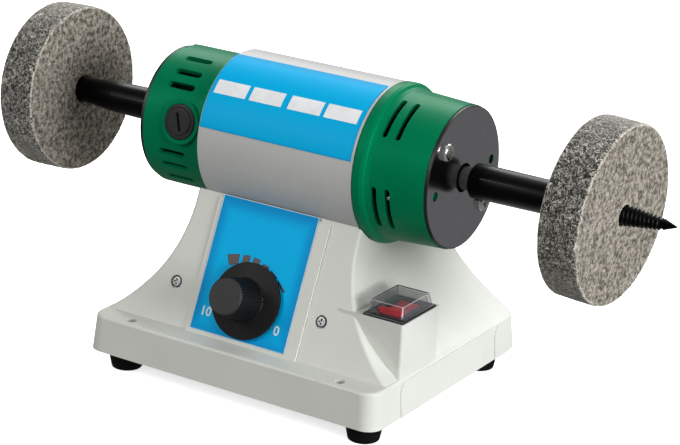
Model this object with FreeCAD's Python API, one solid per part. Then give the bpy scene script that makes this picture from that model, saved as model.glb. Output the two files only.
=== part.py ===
import FreeCAD, Part
import math
import os

# Small double-ended polishing lathe. Millimetres, +Z up.
# The origin is on the bench, midway between the feet and under the motor axis.
# +X runs along the motor axis to the switch side, and the control panel faces -Y.

V = FreeCAD.Vector

# Fits used all over
hole_clearance = 0.1         # round a screw in a plain hole
thread_clearance = 0.02      # round a screw in a nut or a tapped hole
shaft_fit = 0.02             # rotor pieces on the shaft, bearings in their hubs
past = 1.0                   # how far a cutting shape runs past what it cuts
blank_rise = 5.0             # blanks of the upright body run this far over the motor axis
blank_sink = 6.0             # and this far below the ledge

# Base housing
foot_drop = 9.5              # bench to the lower edge of the housing
rim_length = 146.4
rim_depth = 123.6
rim_height = 16.0
rim_corner_radius = 7.0
rim_draft = 1.35             # how far each side leans in over the rim height
rim_edge_round = 1.2
housing_wall = 2.5
axis_above_rim = 93.5        # motor axis over the lower edge of the housing

# Upright body of the housing
ledge_depth = 12.3           # ledge in front of the sloped wall
wall_slope_deg = 23.4        # lean of the front and rear walls from upright
waist_inset = 31.8           # in from the rim's ends at the narrow top
waist_height = 66.0          # height over the rim's lower edge where the flare begins
flare_upper_radius = 53.6
flare_break_deg = 38.0
wall_edge_round = 1.4

# Shallow steps of the side walls
side_step = 0.35
side_step_from_front = 21.8  # first step, from the rim's front
side_step_from_rear = 22.8   # second step, from the rim's rear
side_step_end = 9.8          # where both stop, from the rim's rear
side_step_corner = 5.0

# Switch pedestal
pedestal_top = 40.0          # over the rim's lower edge
pedestal_setback = 9.7       # behind the foot of the front wall
pedestal_behind_bezel = 2.7  # pedestal's top past the bezel's rear edge
pedestal_inset = 1.6         # in from the rim's end
pedestal_corner_round = 1.2

# Rocker switch
bezel_lip_y = 2.4            # bezel beyond the switch body, front and rear
bezel_lip_x = 3.0            # and at its sides
bezel_thick = 1.2
bezel_margin = 0.5           # from the pedestal's front and outer edges
switch_body_length = 22.0
switch_body_width = 13.0
switch_body_depth = 16.0
rocker_short = 4.4           # rocker's length under the body's
rocker_slim = 2.6            # and its width
rocker_tilt_deg = 9.0        # each way from level
rocker_rise = 3.4            # rocker's ends over its pivot
rocker_dip = 2.0             # hollow of its top between the ends
rocker_drop = 5.0            # rocker's foot below its pivot
rocker_foot_width = 5.2
rocker_shoulder = 1.6        # where its end faces turn in, below the pivot
rocker_end_lean = 1.4
rocker_ribs = 4              # grip ribs at each end
rocker_rib_pitch = 1.3
rocker_rib_width = 0.6
rocker_rib_height = 0.35
rocker_rib_inset = 1.2
switch_pivot_depth = 2.6     # pivot below the bezel's face
trunnion_radius = 1.0
trunnion_length = 1.4
trunnion_clearance = 0.05
switch_well_depth = 11.0
switch_fit = 0.15
rocker_clearance = 0.35
boot_margin_y = 0.9          # from the bezel's front and rear edges
boot_margin_x = 0.8
boot_lean_y = 1.7            # how far its ends lean in
boot_lean_x = 0.8
boot_height = 5.4
boot_wall = 0.8
boot_corner = 1.4
boot_edge_round = 0.7
bezel_edge_round = 0.7
terminal_width = 4.8
terminal_thick = 0.8
terminal_length = 8.0
terminal_offset = -3.2       # inner edge from the switch's middle line
terminal_ys = (-6.5, 0.5, 6.5)

# Control panel
pad_left_x = -29.0
pad_right_x = 27.0
pad_thick = 0.8
label_left_x = -27.2
label_right_x = 23.2
label_low_s = 1.8            # up the slope from the ledge
label_high_s = 57.5
label_thick = 0.3
label_gap = 0.4              # to the motor shell

# Speed control, placed on the front wall at (x, distance up the slope)
knob_x = -2.2
knob_s = 18.5
knob_skirt_radius = 16.4
knob_skirt_thick = 3.4
knob_skirt_edge = 1.6
knob_grip_radius = 9.4
knob_cap_radius = 8.3
knob_height = 18.6
knob_flutes = 40
knob_flute_depth = 0.45
knob_gap = 0.5
knob_rest_deg = 16.0
knob_rim_wall = 1.2
knob_underside = 1.0         # hollow under the skirt
knob_cap_edge = 0.9
knob_flute_width = 0.7
pointer_length = 4.6
pointer_width = 0.5
pointer_height = 0.45
pointer_spacing = 2.2        # between its two ribs
nut_room_clearance = 0.6
pot_body_radius = 8.4
pot_body_depth = 7.6
pot_bush_radius = 4.0
pot_bush_proud = 3.0         # over the label
pot_shaft_radius = 3.0
pot_shaft_length = 13.0
pot_nut_flats = 11.0
pot_nut_thick = 2.0
pot_washer_radius = 5.6
pot_washer_thick = 0.6
pot_floor = 1.4              # closed rear of the potentiometer
pot_leg_xs = (-5.0, 0.0, 5.0)
pot_leg_width = 1.2
pot_leg_thick = 0.6
pot_leg_in = 2.0             # in from the lower edge of the round case
pot_leg_past_board = 1.0
pot_shaft_clearance = 0.05
case_screw_x = 37.0          # each side of the panel's middle line
case_screw_middle_x = -3.1
case_screw_recess_radius = 2.9
case_screw_recess_depth = 1.2
case_screw_shank_radius = 1.4
case_screw_length = 13.0
case_screw_head_radius = 2.4
case_screw_head_height = 1.0
case_screw_nut_flats = 5.5
case_screw_nut_thick = 2.2
board_boss_radius = 3.4
board_boss_length = 9.0
board_thick = 1.6
board_margin_x = 4.2         # board beyond its screws
board_low_s = 7.0
board_high_s = 30.5

# Parts behind the circuit board, at (x, up the slope)
heat_sink_x = -26.0
heat_sink_thick = 1.6
heat_sink_low_s = 10.0
heat_sink_high_s = 28.0
heat_sink_depth = 14.0
heat_sink_fins = 4
fin_length = 5.0
fin_pitch = 4.0
fin_thick = 1.2
triac_gap = 0.2
triac_thick = 4.4
triac_low_s = 13.0
triac_high_s = 23.0
triac_depth = 10.0
capacitor_left_x = -14.0
capacitor_right_x = 4.0
capacitor_low_s = 13.6
capacitor_high_s = 21.6
capacitor_depth = 13.0
capacitor_edge_round = 0.6
choke_x = 18.0
choke_radius = 7.5
choke_hole_radius = 3.4
choke_depth = 6.5

# Feet, bottom plate and mounting holes
foot_inset_x = 12.2          # from the rim's ends
foot_inset_y = 13.3          # from the rim's front and rear
foot_top_radius = 8.7
foot_bottom_radius = 6.6
foot_screw_radius = 2.0
foot_recess_radius = 4.4
foot_recess_depth = 4.0
foot_edge_round = 0.8
foot_screw_head_radius = 3.8
foot_screw_head_height = 2.0
foot_screw_past_nut = 1.0
foot_nut_flats = 7.0
foot_nut_thick = 3.0
plate_thick = 2.0
plate_recess = 0.8
plate_clearance = 0.3
plate_boss_radius = 3.6
plate_boss_inset = 8.2       # from the rim's ends
plate_boss_inset_y = 7.2     # from its front and rear
plate_screw_radius = 1.5
plate_screw_length = 9.0
plate_screw_head_radius = 2.8
plate_screw_head_height = 0.7
mount_hole_inset_x = 20.2    # from the rim's ends
mount_hole_inset_y = 5.8     # from its front
mount_hole_radius = 2.15
mount_boss_radius = 4.2

# Cord inlet
gland_inset = 29.2           # from the rim's end
gland_height = 8.2           # over the rim's lower edge
gland_flange_radius = 6.0
gland_flange_thick = 2.9
gland_neck_radius = 4.4
gland_bore_radius = 3.2
gland_inner_radius = 5.0
gland_inner_thick = 1.6
gland_grip = 0.2             # loose by this much over the wall
gland_edge_round = 0.6
gland_pocket_clearance = 0.4

# Motor shell and end bells
shell_left_x = -36.8
shell_right_x = 40.0
shell_radius = 34.0
shell_wall = 1.8
bell_wall = 2.4
bell_fit = 0.05
left_bell_end_x = -68.6
left_bell_step = 3.3         # from the shell down to the bell
left_bell_round = 0.9
left_bell_groove = 1.2       # open groove between the bell and the shell's edge
bell_notch_deg = 92.5
bell_notch_width = 9.0
bell_notch_length = 2.2
right_bell_end_x = 71.8
right_bell_step = 2.2        # from the shell down to the bell past its bead
right_bell_fall = 1.4        # its taper to the end
bead_over_shell = 0.2
right_bead_width = 5.6
bead_clearance = 0.35
bead_edge = 0.65
bead_fall = 1.6              # from the bead down to the bell's body
bell_spigot = 5.0
bell_end_wall = 3.0
end_plate_thick = 1.5
left_plate_step = 0.9        # from the bell's end down to the plate's edge
right_plate_step = 0.4
end_plate_shaft_gap = 1.2
end_screw_inset = 7.6        # from the left end plate's edge
end_screw_deg = 42.0
end_screw_head_radius = 3.7
end_screw_head_height = 2.2
end_screw_shank_radius = 1.9
end_screw_length = 9.0
bell_shaft_hole = 6.5
peep_hole_inset = 6.7
peep_hole_deg = -6.0
peep_hole_radius = 2.0
name_label_left_x = -36.4
name_label_right_x = 38.8
name_label_low_deg = 13.0
name_label_high_deg = 80.0
name_label_thick = 0.2
name_label_gap = 0.08

# Vents
axial_vent_left_x = -60.3
axial_vent_right_x = -46.5
axial_vent_width = 3.0
axial_vent_degs = (28.4, 41.3, 57.3)
left_vent_extra = 3.0        # how far the slot cut runs past the bell's wall
right_vent_extra = 2.0
cap_deg = 12.0
round_vent_xs = (49.3, 55.4)
round_vent_width = 2.6
round_vent_spans = ((38.0, 70.5), (-37.0, -4.5))

# Brush gear
brush_x = -48.7
brush_side = 6.0
brush_clearance = 0.1
brush_contact_gap = 0.1
brush_length = 11.0
brush_tube_wall = 0.6
tube_over_riser = 2.0        # foot of the tube over the commutator's riser
tube_below_cap = 0.2
collar_radius = 7.8
collar_proud = 1.0
collar_depth = 5.0
cap_radius = 5.9
cap_proud = 0.6
cap_depth = 3.0
cap_slot_width = 1.3
cap_slot_depth = 1.0
cap_slot_margin = 1.8        # from the slot's end to the cap's edge
cap_slot_turn_deg = 18.0
cap_edge_round = 0.5
collar_edge_round = 0.8
holder_stem_wall = 1.2
brush_fit = 0.05             # cap in collar, collar in boss
tube_fit = 0.02
brush_boss_radius = 9.6
brush_boss_proud = 0.5
brush_boss_depth = 5.4
spring_radius = 2.1
spring_wire = 0.35
spring_coils = 6

# Motor works
shaft_radius = 5.0
shaft_left_x = -94.0
shaft_right_x = 98.0
shaft_chamfer = 0.6
stator_left_x = -17.0
stator_right_x = 17.0
stator_yoke = 6.0
stator_clearance = 0.05
air_gap = 0.5
pole_depth = 7.65            # stator poles, in from the yoke
pole_half_deg = 40.0
coil_half_deg = 60.0
coil_thick = 4.6
coil_overhang = 7.0
coil_clearance = 0.4
coil_clearance_deg = 1.2
yoke_flat_half_deg = 16.0
yoke_flat_depth = 4.0
armature_slots = 12
slot_depth = 6.5
slot_width = 2.6
winding_clearance = 0.25
winding_overhang = 7.5
winding_below_rim = 1.2
winding_edge_round = 2.0
sleeve_past_winding = 1.0
armature_sleeve_radius = 7.9
commutator_left_x = -55.8
commutator_right_x = -41.6
commutator_radius = 10.5
commutator_bars = 18
commutator_gap = 0.5
commutator_gap_depth = 1.0
riser_height = 1.6
riser_width = 2.4
fan_left_x = 47.0
fan_right_x = 57.0
fan_gap = 1.1                # to the tie bolts
fan_hub_radius = 8.0
fan_blades = 9
fan_blade_thick = 1.4
fan_disc_thick = 1.4
fan_blade_short = 0.5        # blades stop short of the hub's end
bearing_outer_radius = 13.0
bearing_width = 8.0
bearing_end_gap = 0.4
bearing_ring = 2.2
bearing_balls = 8
bearing_ball_radius = 1.7
bearing_track_clearance = 0.15
bearing_hub_wall = 2.6
tie_bolt_gap = 0.65          # to the stator's yoke
tie_bolt_deg = -18.0
tie_bolt_radius = 1.5
tie_bolt_head_radius = 2.8
tie_bolt_head_height = 1.7
tie_bolt_head_sunk = 0.1
tie_bolt_thread_stop = 1.0   # wall left past the bolt's tip
saddle_screw_x = 11.0
saddle_screw_deg = 20.0
saddle_screw_radius = 2.0
saddle_screw_head_radius = 3.8
saddle_screw_head_height = 2.4
saddle_screw_length = 8.3
saddle_screw_spare = 1.0     # depth of the tapped hole past the screw's tip
lead_hole_x = 27.5
lead_hole_radius = 3.6
lead_radius = 1.0
lead_spacing = 2.8
lead_start = 3.4             # inside the shell, where the leads begin
lead_bend_y = -12.0
lead_bend_rise = 9.6         # from the second bend up to the first
lead_bend_s = 26.0           # where the leads meet the board, up the slope
lead_bend_share = 0.45       # of the shorter run that an arc takes

# Spindles
spindle_gap = 5.2            # bare shaft between end plate and spindle
spindle_bore_past = 0.5      # bore beyond the shaft's end
spindle_radius = 7.4
spindle_neck_radius = 7.0
spindle_fit = 0.03
spindle_chamfer = 0.8
right_taper_start_x = 124.0
left_taper_start_x = -105.0
right_thread_start_x = 127.0
left_thread_start_x = -124.6
taper_end_radius = 2.2
taper_end_x = 163.0
tip_x = 168.6
tip_radius = 0.35
thread_pitch = 1.75
thread_depth = 0.75
thread_run_out = 1.0
thread_root_step = 0.3
thread_tooth_share = 0.36    # half width of a tooth over the pitch
thread_crest_share = 0.9
tip_shoulder = 0.1
grub_radius = 2.0
grub_deg = 200.0
grub_offset = 8.0
grub_sunk = 0.8
grub_key_radius = 0.9
grub_key_depth = 0.6

# Wheels
wheel_radius = 37.5
wheel_width = 17.6
wheel_edge_round = 1.0
right_wheel_inner_x = 128.4
left_wheel_inner_x = -125.2
wheel_bore_clearance = 0.3
right_wheel_tilt_deg = 2.0
left_wheel_tilt_deg = 1.4

# Places worked out from the sizes above
half_length = rim_length / 2
half_depth = rim_depth / 2
rim_z = foot_drop
axis_z = rim_z + axis_above_rim
slope = math.radians(wall_slope_deg)
ledge_z = rim_z + rim_height
front_wall_foot_y = ledge_depth - half_depth
rear_wall_foot_y = half_depth - rim_draft - rim_edge_round
side_step_front_y = side_step_from_front - half_depth
side_step_rear_y = half_depth - side_step_from_rear
side_step_end_y = half_depth - side_step_end
pedestal_front_y = front_wall_foot_y + pedestal_setback
bezel_length = switch_body_length + 2 * bezel_lip_y
bezel_width = switch_body_width + 2 * bezel_lip_x
rocker_length = switch_body_length - rocker_short
rocker_width = switch_body_width - rocker_slim
boot_base_length = bezel_length - 2 * boot_margin_y
boot_base_width = bezel_width - 2 * boot_margin_x
boot_top_length = boot_base_length - 2 * boot_lean_y
boot_top_width = boot_base_width - 2 * boot_lean_x
pedestal_rear_y = pedestal_front_y + bezel_margin + bezel_length + pedestal_behind_bezel
pedestal_outer_x = half_length - pedestal_inset
waist_half = half_length - waist_inset
foot_x = half_length - foot_inset_x
foot_y = half_depth - foot_inset_y
plate_boss_x = half_length - plate_boss_inset
plate_boss_y = half_depth - plate_boss_inset_y
mount_hole_x = half_length - mount_hole_inset_x
mount_hole_y = mount_hole_inset_y - half_depth
gland_x = half_length - gland_inset
saddle_radius = shell_radius + 0.1
plate_z = rim_z + plate_recess
gland_z = rim_z + gland_height
shell_inner = shell_radius - shell_wall
yoke_inner = shell_inner - stator_clearance - stator_yoke
left_bell_radius = shell_radius - left_bell_step
right_bell_start_radius = shell_radius - right_bell_step
right_bell_end_radius = right_bell_start_radius - right_bell_fall
right_bead_radius = shell_radius + bead_over_shell
left_end_plate_radius = left_bell_radius - left_plate_step
right_end_plate_radius = right_bell_end_radius - right_plate_step
end_screw_radius_at = left_end_plate_radius - end_screw_inset
peep_hole_at = left_end_plate_radius - peep_hole_inset
tie_bolt_at = yoke_inner - tie_bolt_radius - tie_bolt_gap
armature_radius = yoke_inner - pole_depth - air_gap
fan_radius = tie_bolt_at - tie_bolt_radius - fan_gap
lead_top = shell_inner - lead_start
board_depth = housing_wall + board_boss_length
switch_x = pedestal_outer_x - bezel_margin - bezel_width / 2
switch_y = pedestal_front_y + bezel_margin + bezel_length / 2
pedestal_z = rim_z + pedestal_top
rocker_pivot_z = pedestal_z + bezel_thick - switch_pivot_depth
left_bearing_x = left_bell_end_x + bell_end_wall + bearing_end_gap
right_bearing_x = right_bell_end_x - bell_end_wall - bearing_end_gap - bearing_width
left_plate_x = left_bell_end_x - end_plate_thick
right_plate_x = right_bell_end_x + end_plate_thick
label_face = pad_thick + label_thick
board_back = -board_depth - board_thick


def put(name, *solids):
    shapes = []
    for solid in solids:
        shapes.extend(solid.Solids)
    for shape in shapes:
        if not shape.isValid() or shape.Volume <= 0:
            print("check this solid:", name, shape.isValid(), shape.Volume)
    whole = shapes[0] if len(shapes) == 1 else Part.makeCompound(shapes)
    whole.exportStep("parts/" + name + ".step")


def box(x0, x1, y0, y1, z0, z1):
    return Part.makeBox(x1 - x0, y1 - y0, z1 - z0, V(x0, y0, z0))


def cylinder(radius, height, base, direction=V(0, 0, 1)):
    return Part.makeCylinder(radius, height, base, direction)


def along_x(radius, x0, x1, bore=0.0):
    """A disc or tube on the motor axis."""
    body = cylinder(radius, x1 - x0, V(x0, 0, axis_z), V(1, 0, 0))
    if bore > 0:
        body = body.cut(cylinder(bore, x1 - x0 + 2, V(x0 - 1, 0, axis_z), V(1, 0, 0)))
    return body


def turned(points):
    """A closed (x, radius) outline turned round the motor axis."""
    corners = [V(x, 0, axis_z + r) for x, r in points]
    face = Part.Face(Part.makePolygon(corners + [corners[0]]))
    return face.revolve(V(0, 0, axis_z), V(1, 0, 0), 360)


def sector(r0, r1, x0, x1, from_deg, to_deg):
    """A curved block round the motor axis; angles count up from the front (-Y)."""
    blank = Part.makeCylinder(r1, x1 - x0, V(0, 0, 0), V(0, 0, 1), to_deg - from_deg)
    blank = blank.cut(cylinder(r0, x1 - x0 + 2, V(0, 0, -1)))
    blank.rotate(V(0, 0, 0), V(0, 0, 1), from_deg)
    # local X goes to -Y, local Y to +Z and local Z to -X
    blank.Placement = FreeCAD.Placement(
        FreeCAD.Matrix(0, 0, -1, x1, -1, 0, 0, 0, 0, 1, 0, axis_z, 0, 0, 0, 1)
    ).multiply(blank.Placement)
    return blank


def radial(deg):
    """Unit vector out from the motor axis; 0 is the front (-Y) and 90 the top."""
    angle = math.radians(deg)
    return V(0, -math.cos(angle), math.sin(angle))


def at_angle(deg, distance, x):
    out = radial(deg)
    return V(x, out.y * distance, axis_z + out.z * distance)


def face_motor_radius(shape, deg, distance, x):
    """Stand a shape made on +Z, with its X along the motor, out from the motor axis."""
    shape.rotate(V(0, 0, 0), V(1, 0, 0), 90 - deg)
    shape.translate(at_angle(deg, distance, x))
    return shape


def rounded_outline(half_x, half_y, corner, z):
    points = []
    inner_x = half_x - corner
    inner_y = half_y - corner
    diagonal = corner * math.sqrt(0.5)
    edges = []
    for sx, sy, turn in ((1, 1, 0), (-1, 1, 1), (-1, -1, 0), (1, -1, 1)):
        centre = V(sx * inner_x, sy * inner_y, z)
        on_x = centre + V(sx * corner, 0, 0)
        on_y = centre + V(0, sy * corner, 0)
        middle = centre + V(sx * diagonal, sy * diagonal, 0)
        ends = (on_y, on_x) if turn else (on_x, on_y)
        points.append((ends[0], middle, ends[1]))
    for index, (start, middle, end) in enumerate(points):
        edges.append(Part.Arc(start, middle, end).toShape())
        following = points[(index + 1) % 4][0]
        if (following - end).Length > 1e-6:
            edges.append(Part.makeLine(end, following))
    return Part.Wire(edges)


def tapered_block(half_x, half_y, corner, z0, z1, lean):
    low = rounded_outline(half_x, half_y, corner, z0)
    high = rounded_outline(half_x - lean, half_y - lean, corner, z1)
    return Part.makeLoft([low, high], True, True)


def flare_profile(grow):
    """Upright outline across the lathe, moved in by grow all round its flared sides."""
    half = waist_half - grow
    top_z = rim_z + waist_height
    radius = flare_upper_radius + grow
    break_angle = math.radians(flare_break_deg)
    centre = V(half + radius, 0, top_z)

    def upper(angle):
        return centre + V(-radius * math.cos(angle), 0, -radius * math.sin(angle))

    break_point = upper(break_angle)
    foot = V(half_length - rim_draft - rim_edge_round - grow, 0, ledge_z - grow)
    chord = foot - break_point
    # the lower arc leaves the upper one smoothly
    tangent = V(math.sin(break_angle), 0, -math.cos(break_angle))
    half_turn = math.acos(min(1.0, tangent.dot(chord) / chord.Length))
    bulge = chord.Length / 2 * math.tan(half_turn / 2)
    side = V(chord.z, 0, -chord.x).multiply(1 / chord.Length)
    if side.x > 0:
        side = side.multiply(-1)
    middle = (break_point + foot).multiply(0.5) + side * bulge
    high_z = axis_z + blank_rise
    low_z = ledge_z - blank_sink
    right = [
        Part.makeLine(V(half, 0, high_z), V(half, 0, top_z)),
        Part.Arc(V(half, 0, top_z), upper(break_angle / 2), break_point).toShape(),
        Part.Arc(break_point, middle, foot).toShape(),
        Part.makeLine(foot, V(foot.x, 0, low_z)),
    ]
    left = [edge.mirror(V(0, 0, 0), V(1, 0, 0)) for edge in right]
    caps = [
        Part.makeLine(V(half, 0, high_z), V(-half, 0, high_z)),
        Part.makeLine(V(foot.x, 0, low_z), V(-foot.x, 0, low_z)),
    ]
    return Part.Face(Part.Wire(Part.__sortEdges__(right + left + caps)))


def upright_body(grow):
    """The flared body between the sloped front and rear walls."""
    span = rim_depth + 2 * past
    flare = flare_profile(grow)
    flare.translate(V(0, -span / 2, 0))
    flare = flare.extrude(V(0, span, 0))
    inset = grow / math.cos(slope)
    high = axis_z + blank_rise - ledge_z
    low = ledge_z - blank_sink
    run = high * math.tan(slope)
    front = front_wall_foot_y + inset
    rear = rear_wall_foot_y - inset
    corners = [
        V(0, front, low),
        V(0, front, ledge_z),
        V(0, front + run, ledge_z + high),
        V(0, rear - run, ledge_z + high),
        V(0, rear, ledge_z),
        V(0, rear, low),
    ]
    wedge = Part.Face(Part.makePolygon(corners + [corners[0]]))
    wedge.translate(V(-rim_length, 0, 0))
    wedge = wedge.extrude(V(2 * rim_length, 0, 0))
    body = flare.common(wedge)
    inside = rim_draft + rim_edge_round + grow
    fence = tapered_block(half_length - inside, half_depth - inside,
                          rim_corner_radius - rim_edge_round, low - past,
                          axis_z + blank_rise + past, 0.0)
    return body.common(fence)


def on_wall(shape, x, s, out=0.0):
    """Stand a shape made on +Z on the front wall, s up the slope and out of its face."""
    shape = shape.copy()
    shape.rotate(V(0, 0, 0), V(1, 0, 0), 90 - wall_slope_deg)
    up = V(0, math.sin(slope), math.cos(slope))
    normal = V(0, -math.cos(slope), math.sin(slope))
    foot = V(x, front_wall_foot_y, ledge_z)
    shape.translate(foot + up * s + normal * out)
    return shape


def wall_block(x0, x1, s0, s1, out0, out1):
    block = Part.makeBox(x1 - x0, s1 - s0, out1 - out0, V(x0, s0, out0))
    return on_wall(block, 0, 0)


def cross_recess(width, depth, top):
    arm = 0.28 * width
    first = Part.makeBox(width, arm, depth, V(-width / 2, -arm / 2, top - depth))
    second = Part.makeBox(arm, width, depth, V(-arm / 2, -width / 2, top - depth))
    return first.fuse(second)


def pan_screw(head_radius, head_height, shank_radius, length):
    """Screw with its head above z 0 and its shank below."""
    dome = head_radius * 0.35
    rise = cylinder(head_radius, head_height, V(0, 0, 0))
    rise = rise.makeFillet(min(dome, head_height * 0.6), [rise.Edges[0]])
    shank = cylinder(shank_radius, length, V(0, 0, -length))
    shank = shank.makeChamfer(shank_radius * 0.4, [shank.Edges[2]])
    screw = rise.fuse(shank).removeSplitter()
    return screw.cut(cross_recess(head_radius * 1.1, head_height * 0.6, head_height + 0.01))


def hex_nut(flats, thick, hole):
    radius = flats / 2 / math.cos(math.radians(30))
    corners = [V(radius * math.cos(math.radians(60 * k)), radius * math.sin(math.radians(60 * k)), 0)
               for k in range(6)]
    nut = Part.Face(Part.makePolygon(corners + [corners[0]])).extrude(V(0, 0, thick))
    return nut.cut(cylinder(hole, thick + 2, V(0, 0, -1)))


def side_slab(sign, front_y, proud):
    """Thin raised field on a side wall, with a rounded upper front corner."""
    top = rim_height - rim_edge_round
    corner = side_step_corner
    arc_middle = corner * (1 - math.sqrt(0.5))
    edges = [
        Part.makeLine(V(0, front_y, 0), V(0, front_y, top - corner)),
        Part.Arc(V(0, front_y, top - corner), V(0, front_y + arc_middle, top - arc_middle),
                 V(0, front_y + corner, top)).toShape(),
        Part.makeLine(V(0, front_y + corner, top), V(0, side_step_end_y, top)),
        Part.makeLine(V(0, side_step_end_y, top), V(0, side_step_end_y, 0)),
        Part.makeLine(V(0, side_step_end_y, 0), V(0, front_y, 0)),
    ]
    slab = Part.Face(Part.Wire(edges)).extrude(V(housing_wall / 2 + proud, 0, 0))
    slab.translate(V(-housing_wall / 2, 0, 0))
    slab.rotate(V(0, 0, 0), V(0, 1, 0), -math.degrees(math.atan(rim_draft / rim_height)))
    slab.translate(V(half_length, 0, rim_z))
    slab = slab.common(box(0, rim_length, -rim_depth, rim_depth, rim_z, ledge_z))
    if sign < 0:
        slab = slab.mirror(V(0, 0, 0), V(1, 0, 0))
    return slab


def make_housing():
    rim = tapered_block(half_length, half_depth, rim_corner_radius, rim_z, ledge_z, rim_draft)
    top_edges = [edge for edge in rim.Edges
                 if abs(edge.BoundBox.ZMin - ledge_z) < 0.01 and edge.BoundBox.ZLength < 0.01]
    rim = rim.makeFillet(rim_edge_round, top_edges)

    body = upright_body(0.0)
    trimmed = body.cut(along_x(saddle_radius, -rim_length, rim_length))
    trimmed = max(trimmed.Solids, key=lambda solid: -solid.BoundBox.ZMin)
    upright = [edge for edge in trimmed.Edges if runs_up_the_wall(edge)]
    trimmed = trimmed.makeFillet(wall_edge_round, upright)

    pedestal = box(waist_half, pedestal_outer_x, pedestal_front_y, pedestal_rear_y,
                   rim_z + housing_wall, pedestal_z)
    corners = [edge for edge in pedestal.Edges
               if edge.BoundBox.XMin > pedestal_outer_x - 0.01 and edge.BoundBox.ZLength > 1]
    pedestal = pedestal.makeFillet(pedestal_corner_round, corners)

    outer = rim.fuse([trimmed, pedestal]
                     + [side_slab(sign, y, proud)
                        for sign in (1, -1)
                        for y, proud in ((side_step_front_y, side_step),
                                         (side_step_rear_y, 2 * side_step))])

    pad = wall_block(pad_left_x, pad_right_x, -1.0, label_high_s + 1.0, -1.0, pad_thick)
    pad = pad.cut(along_x(saddle_radius, -rim_length, rim_length))
    pad = pad.common(box(-rim_length, rim_length, -rim_depth, 0, ledge_z - 0.5, axis_z))
    outer = outer.fuse(pad)

    wall = housing_wall
    inner_rim = tapered_block(half_length - wall, half_depth - wall, rim_corner_radius - wall,
                              rim_z - 1, ledge_z - wall, rim_draft)
    inner_body = upright_body(wall)
    inner_body = inner_body.cut(along_x(saddle_radius + wall, -rim_length, rim_length))
    inner_body = max(inner_body.Solids, key=lambda solid: -solid.BoundBox.ZMin)
    inner_pedestal = box(waist_half, pedestal_outer_x - wall, pedestal_front_y + wall,
                         pedestal_rear_y - wall, rim_z + wall, pedestal_z - wall)
    hollow = inner_rim.fuse([inner_body, inner_pedestal])
    housing = outer.cut(hollow)

    # bosses for the mounting holes, the bottom plate and the circuit board
    plate_top = plate_z + plate_thick
    bosses = []
    for sign in (-1, 1):
        bosses.append(cylinder(mount_boss_radius, ledge_z - wall / 2 - plate_top,
                               V(sign * mount_hole_x, mount_hole_y, plate_top)))
    for x, y in plate_boss_places():
        bosses.append(cylinder(plate_boss_radius, ledge_z - wall / 2 - plate_top,
                               V(x, y, plate_top)))
    for x in board_screw_places():
        boss = cylinder(board_boss_radius, board_boss_length + wall / 2, V(0, 0, -board_depth))
        bosses.append(on_wall(boss, x, knob_s))
    housing = housing.fuse(bosses)

    cuts = []
    for sign in (-1, 1):
        cuts.append(cylinder(mount_hole_radius, rim_height + 2 * past,
                             V(sign * mount_hole_x, mount_hole_y, rim_z - past)))
    for x, y in plate_boss_places():
        cuts.append(cylinder(plate_screw_radius + thread_clearance,
                             plate_screw_length - plate_thick + 2 * past,
                             V(x, y, plate_top - past)))
    for x in board_screw_places():
        cuts.append(on_wall(cylinder(case_screw_shank_radius + hole_clearance,
                                     board_depth + 2 * past, V(0, 0, -board_depth - past)),
                            x, knob_s))
        cuts.append(on_wall(cylinder(case_screw_recess_radius, case_screw_recess_depth + past,
                                     V(0, 0, -case_screw_recess_depth)), x, knob_s))
    cuts.append(on_wall(cylinder(pot_bush_radius + hole_clearance, wall + pad_thick + 2 * past,
                                 V(0, 0, -wall - past)), knob_x, knob_s))
    half_w = switch_body_width / 2 + switch_fit
    half_l = switch_body_length / 2 + switch_fit
    cuts.append(box(switch_x - half_w, switch_x + half_w, switch_y - half_l, switch_y + half_l,
                    pedestal_z - wall - past, pedestal_z + past))
    cuts.append(cylinder(gland_neck_radius + hole_clearance, 2 * (housing_wall + rim_draft),
                         V(gland_x, gland_seat_y() - housing_wall - rim_draft, gland_z),
                         V(0, 1, 0)))
    cuts.append(cylinder(gland_flange_radius + gland_pocket_clearance, rim_draft + past,
                         V(gland_x, gland_seat_y(), gland_z), V(0, 1, 0)))
    for deg in saddle_screw_angles():
        for x in (-saddle_screw_x, saddle_screw_x):
            hole = cylinder(saddle_screw_radius + hole_clearance, wall + 2 * past,
                            V(0, 0, -wall - past))
            cuts.append(face_motor_radius(hole, deg, saddle_radius + wall, x))
    lead_hole = cylinder(lead_hole_radius, wall + 2 * past, V(0, 0, -wall - past))
    cuts.append(face_motor_radius(lead_hole, -90, saddle_radius + wall, lead_hole_x))
    # the bead of the right bell hangs over the end of the saddle
    cuts.append(along_x(right_bead_radius + bead_clearance, shell_right_x - bead_clearance,
                        shell_right_x + right_bead_width + past))
    return housing.cut(cuts).removeSplitter()


def runs_up_the_wall(edge):
    """True for the outline edges where the front or rear wall turns into a flared side."""
    if edge.BoundBox.XLength < 1 and edge.BoundBox.ZLength < 1:
        return False
    ends = [edge.Vertexes[0].Point, edge.Vertexes[-1].Point]
    for wall_sign, foot_y in ((1, front_wall_foot_y), (-1, rear_wall_foot_y)):
        gaps = [abs(p.y - (foot_y + wall_sign * (p.z - ledge_z) * math.tan(slope))) for p in ends]
        if max(gaps) > 0.02:
            continue
        same_side = ends[0].x * ends[1].x > 0
        above = min(p.z for p in ends) > ledge_z - 0.1
        if same_side and above and edge.BoundBox.ZLength > 1:
            return True
    return False


def plate_boss_places():
    return [(plate_boss_x, 0.0), (-plate_boss_x, 0.0), (0.0, plate_boss_y), (0.0, -plate_boss_y)]


def board_screw_places():
    return [case_screw_middle_x - case_screw_x, case_screw_middle_x + case_screw_x]


def saddle_screw_angles():
    return [-90 - saddle_screw_deg, -90 + saddle_screw_deg]


def gland_seat_y():
    """The flange sits in a shallow upright pocket of the leaning rim."""
    return half_depth - rim_draft


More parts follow.
